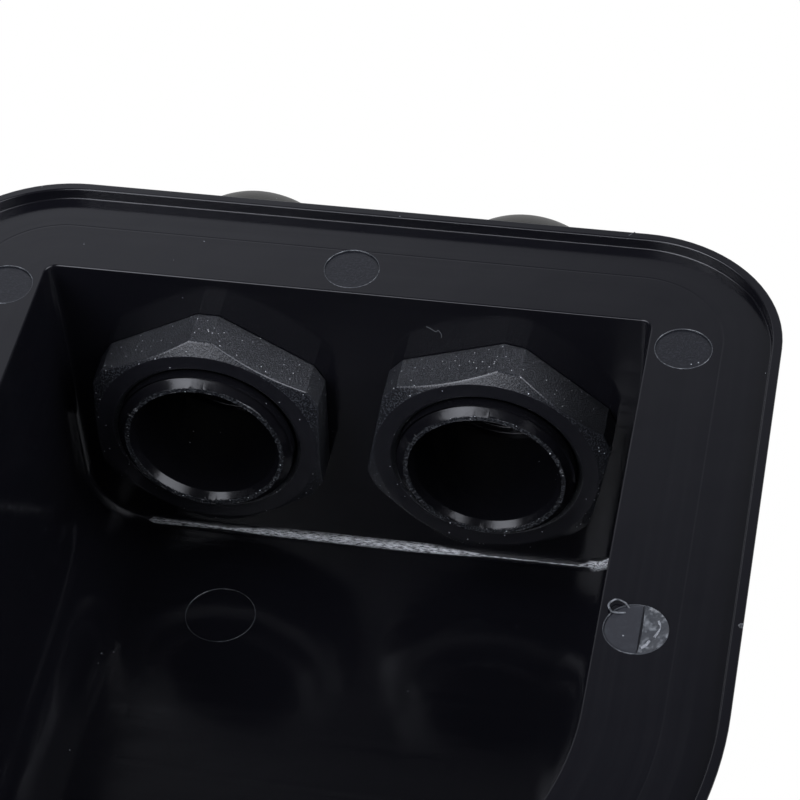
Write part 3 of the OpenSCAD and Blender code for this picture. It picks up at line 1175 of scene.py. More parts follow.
@dataclass
class Hood:
    """The moulded hood with its flange, rim and cavity, one piece of ABS."""

    place: Frame
    rim_h: float = 1.4
    rim_w: float = 1.1
    flange_t: float = 2.8
    flange_corner_r: float = 16.0
    mouth_half: float = 33.0
    mouth_corner_r: float = 1.2
    least_corner_r: float = 0.05
    inner_shoulder_r: float = 7.5
    side_draft: float = 0.6
    hood_corner_r: float = 4.0
    shoulder_r: float = 4.0
    level_len: float = 47.0
    fall_deg: float = 24.0
    bend_r: float = 20.0
    floor_fillet: float = 0.9
    # How far from the end wall the fillet's finish with the painted highlight starts and ends
    highlight_from: float = 0.01
    highlight_to: float = 1.15
    mouth_edge_r: float = 0.16
    rim_edge_r: float = 0.15
    rim_foot_r: float = 0.14
    flange_edge_r: float = 1.0
    flange_draft: float = 0.85
    hood_foot_r: float = 1.6
    hole_r: float = 10.2
    mark_d: float = 6.0
    torn_mark_d: float = 6.2
    mark_gap: float = 3.75
    mark_reach: float = 42.9
    mark_depth: float = 0.15
    ceiling_mark_d: float = 8.0
    ceiling_mark_x: float = -14.0
    ceiling_mark_reach: float = 13.4
    flash_half: float = 0.055
    flash_sunk: float = 0.02
    flash_steps: int = 6
    nick_r: float = 0.42
    nick_deep: float = 0.3
    nick_inset: float = 0.2
    nick_shift: float = 0.7
    nick_sides: int = 6
    # The faint line round the band, where two parts of the mould met
    witness_reach: float = 7.7
    witness_w: float = 0.3
    witness_depth: float = 0.008
    witness_edge_r: float = 0.03
    witness_foot_r: float = 0.02
    end_steps: int = 24
    corner_steps: int = 20
    side_steps: int = 44
    nose_steps: int = 44
    wall_rings: int = 8
    fillet_steps: int = 6
    marks: list[PinMark] = field(init=False)

    def __post_init__(self) -> None:
        """Places the ejector marks: the torn one first, then those on the band and the ceiling."""
        place, z, size = self.place, self.rim_h, self.mark_d
        side, wall_y = self.mouth_half + self.mark_gap, place.end_wall_y
        near_y, far_y = wall_y + self.mark_gap, wall_y + self.mark_reach
        self.marks = [
            PinMark(side, far_y, z, self.torn_mark_d, flash=0.13, least=0.5, phase=2.0),
            PinMark(-side, far_y, z, size),
            PinMark(side, near_y, z, size, flash=0.06, least=0.5, phase=3.0),
            PinMark(-side, near_y, z, size, least=-0.1, phase=3.4),
            PinMark(0.0, wall_y - self.mark_gap, z, size, least=0.0, phase=2.6),
            PinMark(0.0, place.nose_y + side, z, size),
            PinMark(self.ceiling_mark_x, wall_y + self.ceiling_mark_reach, place.ceiling_z,
                    self.ceiling_mark_d, flash=0.04, least=-0.7, phase=1.4, look=ABS),
        ]

    def roof_z(self, y: np.ndarray, start: float, top: float) -> np.ndarray:
        """Height of a roof that is level and then falls, with a rounded bend.

        Args:
            y: places along the box.
            start: where the fall starts.
            top: height of the level part.

        Returns:
            The heights.
        """
        angle = math.radians(self.fall_deg)
        reach = self.bend_r * math.tan(angle / 2)
        bend = np.clip(y - (start - reach), 0, self.bend_r * math.sin(angle))
        past = np.clip(y - (start - reach) - self.bend_r * math.sin(angle), 0, None)
        return top - (self.bend_r - np.sqrt(self.bend_r ** 2 - bend ** 2)) - past * math.tan(angle)

    def outline(self, half: float, end_y: float, corner_r: float) -> np.ndarray:
        """One closed outline: a square end with round corners, straight sides and a round nose.

        Args:
            half: half of the width.
            end_y: place of the gland end.
            corner_r: radius of its corners.

        Returns:
            The points, from the middle of the gland end round the right side and back.
        """
        nose_y = self.place.nose_y
        end = np.linspace(0, half - corner_r, self.end_steps, endpoint=False)
        corner = np.linspace(-math.pi / 2, 0, self.corner_steps, endpoint=False)
        side = np.linspace(end_y + corner_r, nose_y, self.side_steps, endpoint=False)
        nose = np.linspace(0, math.pi / 2, self.nose_steps + 1)
        right = np.concatenate([
            np.stack([end, np.full_like(end, end_y)], axis=1),
            np.stack([half - corner_r + corner_r * np.cos(corner),
                      end_y + corner_r + corner_r * np.sin(corner)], axis=1),
            np.stack([np.full_like(side, half), side], axis=1),
            np.stack([half * np.cos(nose), nose_y + half * np.sin(nose)], axis=1),
        ])
        left = right[-2:0:-1] * (-1, 1)
        return np.concatenate([right, left])

    def ring(self, half: float, z: float, roof: Roof, over: bool) -> np.ndarray:
        """One ring of the hood's skin.

        Args:
            half: half of its width, which also sets its other sizes.
            z: height, or distance below the roof that it hangs from.
            roof: what the height is measured from.
            over: true on the outside of the hood, false underneath and inside.

        Returns:
            The ring's points.
        """
        place = self.place
        wall = place.wall if over else 0.0
        inner, inner_end = self.mouth_half + wall, place.end_wall_y - wall
        inner_r = self.hood_corner_r if over else self.mouth_corner_r
        knots = (inner, place.flange_half - self.rim_w, place.flange_half)
        ends = (inner_end, place.gland_end_y + self.rim_w, place.gland_end_y)
        radii = (inner_r, self.flange_corner_r - self.rim_w, self.flange_corner_r)
        inset = max(inner - half, 0.0)
        end_y = float(np.interp(half, knots, ends)) + inset
        corner_r = max(float(np.interp(half, knots, radii)) - inset, self.least_corner_r)
        return self.raised(self.outline(half, end_y, corner_r), z, roof)

    def raised(self, flat: np.ndarray, z: float, roof: Roof) -> np.ndarray:
        """Lifts an outline to its height.

        Args:
            flat: the outline.
            z: height, or distance below the roof that it hangs from.
            roof: what the height is measured from.

        Returns:
            The outline's points in space.
        """
        place = self.place
        fall_y = place.end_wall_y + self.level_len
        if roof is Roof.INSIDE:
            height = self.roof_z(flat[:, 1], fall_y, place.ceiling_z) - z
        elif roof is Roof.OUTSIDE:
            shift = place.wall * math.tan(math.radians(self.fall_deg) / 2)
            height = self.roof_z(flat[:, 1], fall_y + shift, place.hood_h) - z
        else:
            height = np.full(len(flat), z)
        return np.column_stack([flat, height])

    def outer_shoulder(self) -> list[np.ndarray]:
        """Rings of the rounded edge between the hood's outer wall and its top, from the wall inwards.

        Returns:
            The rings, the first and last of which hold the flats.
        """
        half, radius = self.mouth_half + self.place.wall, self.shoulder_r
        hold = HOLD_SHARE * radius
        steps = [(half, radius + hold)]
        for i in range(self.fillet_steps, -1, -1):
            turn = i / self.fillet_steps * math.pi / 2
            steps.append((half - radius * (1 - math.sin(turn)), radius * (1 - math.cos(turn))))
        steps.append((half - radius - hold, 0.0))
        return [self.ring(width, drop, Roof.OUTSIDE, True) for width, drop in steps]

    def ceiling_edge(self) -> list[np.ndarray]:
        """Rings from the cavity's ceiling down: a small fillet at the end wall, wide shoulders elsewhere.

        Returns:
            The rings, the first and last of which hold the flats.
        """
        half, wide, small = self.mouth_half - self.side_draft, self.inner_shoulder_r, self.floor_fillet
        fine = small * (1 - np.cos(np.linspace(0, math.pi / 2, self.fillet_steps + 1)))
        start = math.acos(1 - small / wide)
        coarse = wide * (1 - np.cos(np.linspace(start, math.pi / 2, self.fillet_steps + 3)[1:]))
        hold = HOLD_SHARE * small
        steps = [(half - wide - hold, small + hold, 0.0)]
        for drop in [*fine, *coarse, wide + hold]:
            width = half - wide + math.sqrt(wide ** 2 - max(wide - drop, 0.0) ** 2)
            inset = small - math.sqrt(small ** 2 - max(small - drop, 0.0) ** 2)
            steps.append((width, inset, drop))
        end_y, corner_r = self.place.end_wall_y, self.mouth_corner_r
        return [self.raised(self.outline(width, end_y + inset, corner_r), drop, Roof.INSIDE)
                for width, inset, drop in steps]

    def walls(self, top: np.ndarray, bottom: np.ndarray) -> list[np.ndarray]:
        """Rings evenly between two rings."""
        shares = np.arange(1, self.wall_rings) / self.wall_rings
        return [top + (bottom - top) * share for share in shares]

    def under_profile(self) -> np.ndarray:
        """Profile of the flange: mouth edge, band, rim, outer edge, top and foot of the hood.

        Returns:
            Half width and height of each ring.
        """
        outside, edge = self.mouth_half + self.place.wall, self.place.flange_half
        band, top = self.rim_h, self.rim_h + self.flange_t
        rim_x, line_x = edge - self.rim_w, self.mouth_half + self.witness_reach
        return filleted([
            (self.mouth_half, top, 0.0),
            (self.mouth_half, band, self.mouth_edge_r),
            (line_x - self.witness_w / 2, band, self.witness_edge_r),
            (line_x, band + self.witness_depth, self.witness_foot_r),
            (line_x + self.witness_w / 2, band, self.witness_edge_r),
            (rim_x, band, self.rim_foot_r),
            (rim_x, 0.0, self.rim_edge_r),
            (edge, 0.0, self.rim_edge_r),
            (edge - self.flange_draft, top, self.flange_edge_r),
            (outside, top, self.hood_foot_r),
            (outside, top + 2 * self.hood_foot_r, 0.0),
        ], self.fillet_steps)

    def cap(self, draft: MeshDraft, ring: np.ndarray) -> None:
        """Closes a roof with rows from side to side.

        Args:
            draft: the draft of the piece.
            ring: the ring that bounds the roof.
        """
        half_count = len(ring) // 2
        first = self.end_steps
        across = np.concatenate([ring[-first:], ring[:first + 1]])
        shares = (across[:, 0] - across[0, 0]) / (across[-1, 0] - across[0, 0])
        rows = [across]
        for i in range(first + 1, half_count + 1):
            right, left = ring[i], ring[-i]
            rows.append(left + (right - left) * shares[:, None])
        points = np.stack(rows)
        draft.net(points, uv=points[:, :, :2])

    def build(self) -> bpy.types.Object:
        """Builds the hood, cuts its holes and marks, and dresses it.

        Returns:
            The piece, riding on its body.
        """
        draft, profile = MeshDraft(), self.under_profile()
        split = int(np.argmax(profile[:, 0]))
        edge = [self.ring(half, z, Roof.GROUND, i >= split) for i, (half, z) in enumerate(profile)]
        inside, outside = self.ceiling_edge(), self.outer_shoulder()
        skin = np.stack([
            *inside, *self.walls(inside[-1], edge[0]), *edge, *self.walls(edge[-1], outside[0]), *outside,
        ])
        draft.net(skin, uv=self.surface_map(skin), close_columns=True)
        self.cap(draft, skin[0])
        self.cap(draft, skin[-1])
        self.paint_fillet_highlight(draft)
        finishes = [look.material() for look in HOOD_LOOKS]
        piece = draft.piece("hood", finishes)
        carved(piece, self.cutter(finishes))
        joined(piece, self.flash(finishes))
        joined(piece, Blemishes(self.marks[0], self.place.end_wall_y, finishes).build())
        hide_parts("box_body")
        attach(piece, "box")
        return piece

    def surface_map(self, skin: np.ndarray) -> np.ndarray:
        """Place of each point along and across the walls, in millimetres, with the seam at the nose.

        Args:
            skin: the rings of points.

        Returns:
            The map, with one more column than the rings have.
        """
        rings, count = skin.shape[:2]
        middle = skin[rings // 2]
        steps = np.linalg.norm(np.diff(middle, axis=0, append=middle[:1]), axis=1)
        along = np.concatenate([[0.0], np.cumsum(steps)])
        along[count // 2 + 1:] -= along[-1]
        across = np.concatenate([[0.0], np.cumsum(np.linalg.norm(np.diff(skin[:, 0], axis=0), axis=1))])
        return np.stack(np.meshgrid(along, across), axis=2)

    def paint_fillet_highlight(self, draft: MeshDraft) -> None:
        """Gives the fillet round the end wall, along the ceiling and the shoulders, its finish with a painted
        highlight.

        Args:
            draft: the draft of the hood.
        """
        ceiling = self.place.ceiling_z
        for face in draft.mesh.faces:
            middle = face.calc_center_median()
            reach = middle.y - self.place.end_wall_y
            high = ceiling - self.inner_shoulder_r < middle.z < ceiling
            if high and abs(middle.x) < self.mouth_half and self.highlight_from < reach < self.highlight_to:
                face.material_index = on_hood(FILLET_HIGHLIGHT)

    def flash(self, finishes: Sequence[bpy.types.Material]) -> bpy.types.Object:
        """Builds the thin, uneven flash round each ejector mark.

        Args:
            finishes: the hood's finishes.

        Returns:
            The flash, to be joined to the hood.
        """
        draft, turn = MeshDraft(), np.linspace(0, math.pi, self.flash_steps)
        for mark in self.marks:
            radius = mark.diameter / 2 + self.flash_half * np.cos(turn)
            columns = []
            for angle in round_angles(ROUND_POINTS):
                height = mark.z + self.flash_sunk - (mark.lift(angle) + self.flash_sunk) * np.sin(turn)
                columns.append(swung(np.stack([radius, height], axis=1), angle) + mark.centre)
            ring = np.stack(columns, axis=1)
            draft.net(ring, close_rows=True, close_columns=True, finish=on_hood(ABS_TORN))
        return draft.piece("flash", finishes)

    def cutter(self, finishes: Sequence[bpy.types.Material]) -> bpy.types.Object:
        """Builds the cutter of the gland holes, the ejector marks and the nick in the flange's edge.

        Args:
            finishes: the hood's finishes.

        Returns:
            The cutter.
        """
        draft, place = MeshDraft(), self.place
        low, high = -OVER_MM, place.wall + OVER_MM
        hole = lathed([(0.0, low), (self.hole_r, low), (self.hole_r, high), (0.0, high)], ROUND_POINTS)
        for side in Side:
            draft.net(place.at_gland(side, hole), close_columns=True)
        for mark in self.marks:
            radius, low, high = mark.diameter / 2, mark.z - OVER_MM / 2, mark.z + self.mark_depth
            spot = lathed([(0.0, low), (radius, low), (radius, high), (0.0, high)], ROUND_POINTS)
            draft.net(spot + mark.centre, close_columns=True, finish=on_hood(mark.look))
        nick = lathed([
            (0.0, -OVER_MM), (2 * self.nick_r, -OVER_MM), (0.5 * self.nick_r, self.nick_deep),
            (0.0, self.nick_deep),
        ], self.nick_sides)
        at_edge = np.array([place.flange_half - self.nick_inset, self.marks[0].y - self.nick_shift, 0.0])
        draft.net(nick + at_edge, close_columns=True, finish=on_hood(ABS_TORN))
        return draft.piece("cutter", finishes)


@dataclass
class Gland:
    """One cable gland: lock nut, gasket, body, seal and cap nut on one axis.

    Its pieces are drawn along +Z, outwards from the inner face of the end wall.
    """

    place: Frame
    side: Side
    finishes: dict[GrainedPlastic, bpy.types.Material]
    nut_turn: float
    cap_turn: float = 8.0
    thread_r: float = 10.0
    thread_pitch: float = 1.5
    thread_depth: float = 0.72
    thread_steps: int = 90
    ridge_root: float = 1.25
    ridge_crest: float = 0.3
    # Where the threads start on the tube and on the barrel, and how much shorter they are than these
    tube_thread_z: float = 0.9
    tube_thread_less: float = 1.2
    barrel_thread_z: float = 0.3
    barrel_thread_less: float = 1.0
    # How deep a thread or a finger is sunk in the piece that carries it
    sunk: float = 0.05
    bore_r: float = 8.0
    rim_r: float = 9.0
    rim_edge_r: float = 0.06
    # The tube's bevelled rim and its tapered lead up to the thread
    bevel_w: float = 0.2
    bevel_z: float = 0.15
    lead_z: float = 0.75
    lead_w: float = 0.08
    core_z: float = 1.15
    lip_w: float = 0.48
    lip_len: float = 0.9
    # How far the cut rim is torn in and stands out, and the least share of that
    torn_in: float = 0.1
    torn_out: float = 0.16
    torn_least: float = 0.35
    nut_flats: float = 25.4
    nut_corner_r: float = 14.02
    nut_face_r: float = 12.4
    nut_gap: float = 0.1
    nut_sink: float = 0.55
    chamfer_slope: float = 0.51
    # How squarely a face of the nut has to look along the axis to be its flat, its chamfer or an edge
    flat_lean: float = 0.95
    chamfer_lean: float = 0.84
    edge_lean: float = 0.1
    edge_r: float = 0.3
    collar_flats: float = 24.0
    collar_corner_r: float = 13.3
    collar_t: float = 5.5
    barrel_r: float = 9.9
    barrel_len: float = 8.0
    cage_r: float = 8.1
    finger_r: float = 9.2
    finger_root: float = 0.5
    finger_tip: float = 0.8
    finger_thin: float = 0.35
    finger_count: int = 12
    finger_slot: float = 1.0
    finger_steps: int = 9
    stop_w: float = 1.0
    stop_t: float = 1.5
    gasket_r: float = 12.2
    hole_r: float = 10.2
    seal_bore_r: float = 5.0
    seal_r: float = 7.8
    seal_flange_r: float = 8.8
    seal_flange_t: float = 0.9
    cap_flats: float = 24.0
    cap_corner_r: float = 13.4
    cap_hex_len: float = 8.5
    cap_end_t: float = 2.5
    cap_end_r: float = 9.0
    cap_hole_r: float = 6.5
    cap_gap: float = 0.3
    cap_lead: float = 0.5
    dome_inset: float = 0.45
    dome_steps: int = 14
    outline_leg: float = 0.7
    round_steps: int = 120

    @property
    def barrel_z(self) -> float:
        """Start of the upper thread."""
        return self.place.collar_z + self.collar_t

    @property
    def finger_z(self) -> float:
        """Start of the clamping fingers."""
        return self.barrel_z + self.barrel_len

    def finish(self, draft: MeshDraft, stem: str, body: str, slot: str,
               looks: Sequence[GrainedPlastic]) -> bpy.types.Object:
        """Puts a drawn piece in its hole, dresses it and lets it ride.

        Args:
            draft: the piece, drawn along +Z.
            stem: name of its node without the side.
            body: the body that it rides on.
            slot: not used.
            looks: its finishes, in the order of the faces' finishes.

        Returns:
            The piece.
        """
        draft.moved(lambda points: self.place.at_gland(self.side, points))
        piece = draft.piece(self.side.piece(stem), [self.finishes[look] for look in looks])
        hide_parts(self.side.node(stem))
        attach(piece, body)
        return piece

    def lock_nut(self) -> bpy.types.Object:
        """Builds the hexagon nut inside the box: chamfered face, trimmed corners, countersunk thread.

        Returns:
            The piece.
        """
        face_z, bore, sink = -self.place.nut_t, self.thread_r + self.nut_gap, self.nut_sink
        outline = hexagon_outline(self.nut_flats, self.nut_corner_r, self.edge_r, self.nut_turn,
                                  self.outline_leg)

        def profile(radius: float) -> np.ndarray:
            """Section of the nut.

            Args:
                radius: its outer radius there.

            Returns:
                Radius and height of each point.
            """
            drop = (radius - self.nut_face_r) * self.chamfer_slope
            return filleted([
                (bore, face_z / 2, 0.0), (bore, face_z + sink, 0.1), (bore + sink, face_z, 0.12),
                (self.nut_face_r, face_z, 0.15), (radius, face_z + drop, 0.25), (radius, 0.0, 0.2),
                (bore, 0.0, 0.1),
            ])

        looks = (NYLON, NYLON_SATIN, NYLON_EDGE, NYLON_RUBBED)
        draft = MeshDraft.closed(turned(outline, profile))
        draft.mesh.normal_update()
        for face in draft.mesh.faces:
            middle, lean = face.calc_center_median(), abs(face.normal.z)
            outer = math.hypot(middle.x, middle.y) > self.nut_face_r - self.edge_r and middle.z < face_z / 2
            if lean > self.flat_lean:
                face.material_index = looks.index(NYLON_SATIN)
            elif outer and lean > self.chamfer_lean:
                face.material_index = looks.index(NYLON_RUBBED)
            elif outer and lean > self.edge_lean:
                face.material_index = looks.index(NYLON_EDGE)
        return self.finish(draft, "lock_nut", "box", "nylon", looks)

    def gasket(self) -> bpy.types.Object:
        """Builds the flat rubber ring under the collar.

        Returns:
            The piece.
        """
        low, high = self.place.wall, self.place.collar_z
        middle = (self.hole_r, (low + high) / 2, 0.0)
        section = filleted([
            middle, (self.hole_r, low, 0.25), (self.gasket_r, low, 0.35), (self.gasket_r, high, 0.35),
            (self.hole_r, high, 0.25), middle,
        ])[:-1]
        draft = MeshDraft.closed(lathed(section, self.round_steps))
        return self.finish(draft, "gasket", "box", "rubber", [RUBBER])

    def finger(self) -> bpy.types.Mesh:
        """Builds one clamping finger, with a thinned tip, drawn round +X.

        Returns:
            Its mesh, in millimetres.
        """
        low, high = self.finger_z + self.finger_root - self.sunk, self.place.tip_z
        half = math.pi / self.finger_count - self.finger_slot / 2 / self.finger_r
        middle = (self.cage_r, (low + high) / 2, 0.0)
        section = filleted([
            middle, (self.cage_r, low, 0.0), (self.finger_r, low, 0.0),
            (self.finger_r, high - self.finger_tip, 0.4), (self.finger_r - self.finger_thin, high, 0.2),
            (self.cage_r, high, 0.15), middle,
        ], 3)[:-1]
        rows = [swung(section, angle) for angle in np.linspace(-half, half, self.finger_steps)]
        draft = MeshDraft()
        draft.net(np.stack(rows), close_columns=True)
        for row in (rows[0], rows[-1]):
            draft.mesh.faces.new([draft.mesh.verts.new(point) for point in row])
        bmesh.ops.remove_doubles(draft.mesh, verts=draft.mesh.verts, dist=MERGE_MM)
        return draft.ended("finger")

    def thread(self, crest_r: float, start: float, length: float) -> bpy.types.Mesh:
        """Runs a thread along a stretch of the gland.

        Args:
            crest_r: radius of the crest.
            start: where the thread starts.
            length: its length.

        Returns:
            The thread's mesh.
        """
        core_r = crest_r - self.thread_depth
        mesh = grown("thread", thread_tree(), {
            "Core Radius": core_r - self.sunk, "Pitch": self.thread_pitch,
            "Turns": length / self.thread_pitch, "Ridge Height": crest_r - core_r + self.sunk,
            "Ridge Root": self.ridge_root, "Ridge Crest": self.ridge_crest, "Steps": self.thread_steps,
            "Material": self.finishes[NYLON],
        })
        mesh.transform(Matrix.Translation((0, 0, start)))
        return mesh

    def body_profile(self, radius: float) -> np.ndarray:
        """Section of the body at a collar radius: bore, lip, rim, tube, collar, barrel, fingers' root, stop.

        Args:
            radius: radius of the collar.

        Returns:
            Radius and height of each point.
        """
        end, collar_z, barrel_z = -self.place.tube_reach, self.place.collar_z, self.barrel_z
        core, upper_core = self.thread_r - self.thread_depth, self.barrel_r - self.thread_depth
        stop_z, root_z = barrel_z - self.stop_t, self.finger_z + self.finger_root
        stop_r = self.bore_r - self.stop_w
        middle = (self.bore_r, (end + stop_z) / 2, 0.0)
        return filleted([
            middle,
            (self.bore_r, end + self.lip_len, 0.3),
            (self.bore_r + 0.8 * self.lip_w, end + 0.2 * self.lip_len, 0.0),
            (self.bore_r + self.lip_w, end, self.rim_edge_r),
            (self.rim_r, end, self.rim_edge_r),
            (self.rim_r + self.bevel_w, end + self.bevel_z, 0.0),
            (self.thread_r - self.lead_w, end + self.lead_z, 0.08),
            (core, end + self.core_z, 0.1),
            (core, collar_z, 0.1),
            (radius, collar_z, 0.35),
            (radius, barrel_z, 0.5),
            (upper_core, barrel_z, 0.15),
            (upper_core, self.finger_z, 0.1),
            (self.finger_r, self.finger_z, 0.1),
            (self.finger_r, root_z, 0.0),
            (self.cage_r, root_z, 0.0),
            (self.cage_r, barrel_z, 0.1),
            (stop_r, barrel_z, 0.2),
            (stop_r, stop_z, 0.2),
            (self.bore_r, stop_z, 0.1),
            middle,
        ], 6)[:-1]

    def gland_body(self) -> bpy.types.Object:
        """Builds the body: threaded tube, hexagon collar, upper thread, seal stop and clamping fingers.

        Returns:
            The piece.
        """
        place, end = self.place, -self.place.tube_reach
        outline = hexagon_outline(self.collar_flats, self.collar_corner_r, self.edge_r, 0.0, self.outline_leg)
        draft = MeshDraft.closed(self.ragged(turned(outline, self.body_profile), end))
        for crest_r, start, length in (
            (self.thread_r, end + self.tube_thread_z, place.collar_z - end - self.tube_thread_less),
            (self.barrel_r, self.barrel_z + self.barrel_thread_z, self.barrel_len - self.barrel_thread_less),
        ):
            draft.take(self.thread(crest_r, start, length))
        draft.take(grown("fingers", finger_tree(), {
            "Count": self.finger_count, "Material": self.finishes[NYLON],
        }, self.finger()))
        looks = (NYLON, NYLON_SMOOTH, NYLON_TORN)
        rim_start = self.bore_r + self.lip_w - self.rim_edge_r
        for face in draft.mesh.faces:
            middle = face.calc_center_median()
            radius = math.hypot(middle.x, middle.y)
            if middle.z < end + self.bevel_w and rim_start < radius < self.rim_r + self.sunk:
                face.material_index = looks.index(NYLON_TORN)
            elif middle.z < place.wall or radius < self.bore_r + self.sunk:
                face.material_index = looks.index(NYLON_SMOOTH)
        return self.finish(draft, "gland_body", "box", "nylon", looks)

    def ragged(self, net: np.ndarray, end: float) -> np.ndarray:
        """Roughens the rim of the tube, where it was cut off its sprue.

        Args:
            net: the body's points.
            end: height of the rim.

        Returns:
            The points with an uneven rim.
        """
        draw = np.random.default_rng(7 + self.side.value)
        angle, radius = np.arctan2(net[:, :, 1], net[:, :, 0]), np.hypot(net[:, :, 0], net[:, :, 1])
        rim = (net[:, :, 2] < end + self.rim_edge_r) & (radius < self.rim_r + self.bevel_w / 2)
        wave = np.clip(np.sin(3 * angle + draw.uniform(0, 6)), 0, 1)
        uneven = self.torn_least + (1 - self.torn_least) * wave
        net[:, :, 2] += np.where(rim, uneven * draw.uniform(-self.torn_out, self.torn_in, net.shape[:2]), 0.0)
        return net

    def seal(self) -> bpy.types.Object:
        """Builds the rubber sleeve inside the fingers, with its end flange.

        Returns:
            The piece.
        """
        low, high = self.place.seal_z, self.place.seal_end_z
        flange_z = high - self.seal_flange_t
        middle = (self.seal_bore_r, (low + high) / 2, 0.0)
        section = filleted([
            middle, (self.seal_bore_r, low, 0.5), (self.seal_r, low, 0.4), (self.seal_r, flange_z, 0.1),
            (self.seal_flange_r, flange_z, 0.15), (self.seal_flange_r, high, 0.25),
            (self.seal_bore_r, high, 0.5), middle,
        ])[:-1]
        draft = MeshDraft.closed(lathed(section, self.round_steps))
        return self.finish(draft, "seal", self.side.piece("seal"), "rubber", [RUBBER])

    def dome(self, base_r: float, start: float, end: float) -> list[Corner]:
        """Points of the cap nut's dome, an arc from its hexagon to its flat end.

        Args:
            base_r: radius at the hexagon.
            start: height at the hexagon.
            end: height of the flat end.

        Returns:
            Radius, height and no rounding of each point between the two.
        """
        length = end - start
        rise = (self.cap_end_r ** 2 + length ** 2 - base_r ** 2) / (2 * length)
        dome_r = math.hypot(base_r, rise)
        heights = [start + share * length for share in np.linspace(0, 1, self.dome_steps)[1:-1]]
        return [(math.sqrt(dome_r ** 2 - (z - start - rise) ** 2), z, 0.0) for z in heights]

    def cap_nut(self) -> bpy.types.Object:
        """Builds the domed cap nut: hexagon skirt, dome, flat end with its cable hole.

        Returns:
            The piece.
        """
        low, high = self.place.cap_z, self.place.cap_end_z
        outline = hexagon_outline(self.cap_flats, self.cap_corner_r, self.edge_r, self.cap_turn,
                                  self.outline_leg)
        base_r, dome_z = self.cap_flats / 2 - self.dome_inset, low + self.cap_hex_len
        dome = self.dome(base_r, dome_z, high)
        inner_z, bore, lead = high - self.cap_end_t, self.barrel_r + self.cap_gap, self.cap_lead
        flange_z = inner_z - self.cap_gap - self.seal_flange_t
        middle = (bore, (low + self.finger_z) / 2, 0.0)

        def profile(radius: float) -> np.ndarray:
            """Section of the cap nut.

            Args:
                radius: its outer radius there.

            Returns:
                Radius and height of each point.
            """
            drop = (radius - base_r) * self.chamfer_slope
            return filleted([
                middle, (bore, low + lead, 0.1), (bore + lead, low, 0.1), (radius, low, 0.4),
                (radius, dome_z - drop, 0.15), (base_r, dome_z, 0.3), *dome, (self.cap_end_r, high, 0.35),
                (self.cap_hole_r, high, 0.3), (self.cap_hole_r, inner_z, 0.2), (self.finger_r, inner_z, 0.0),
                (self.finger_r + self.cap_gap, flange_z, 0.0), (bore, self.finger_z, 0.0), middle,
            ])[:-1]

        draft = MeshDraft.closed(turned(outline, profile))
        return self.finish(draft, "cap_nut", self.side.piece("cap"), "nylon", [NYLON_MATT])

    def build(self) -> list[bpy.types.Object]:
        """Builds all five pieces of the gland."""
        return [self.lock_nut(), self.gasket(), self.gland_body(), self.seal(), self.cap_nut()]


@dataclass(frozen=True)
class SoftPanel:
    """A soft, round patch of light in the sky of the studio."""

    towards: Corner
    core_deg: float
    edge_deg: float
    strength: float


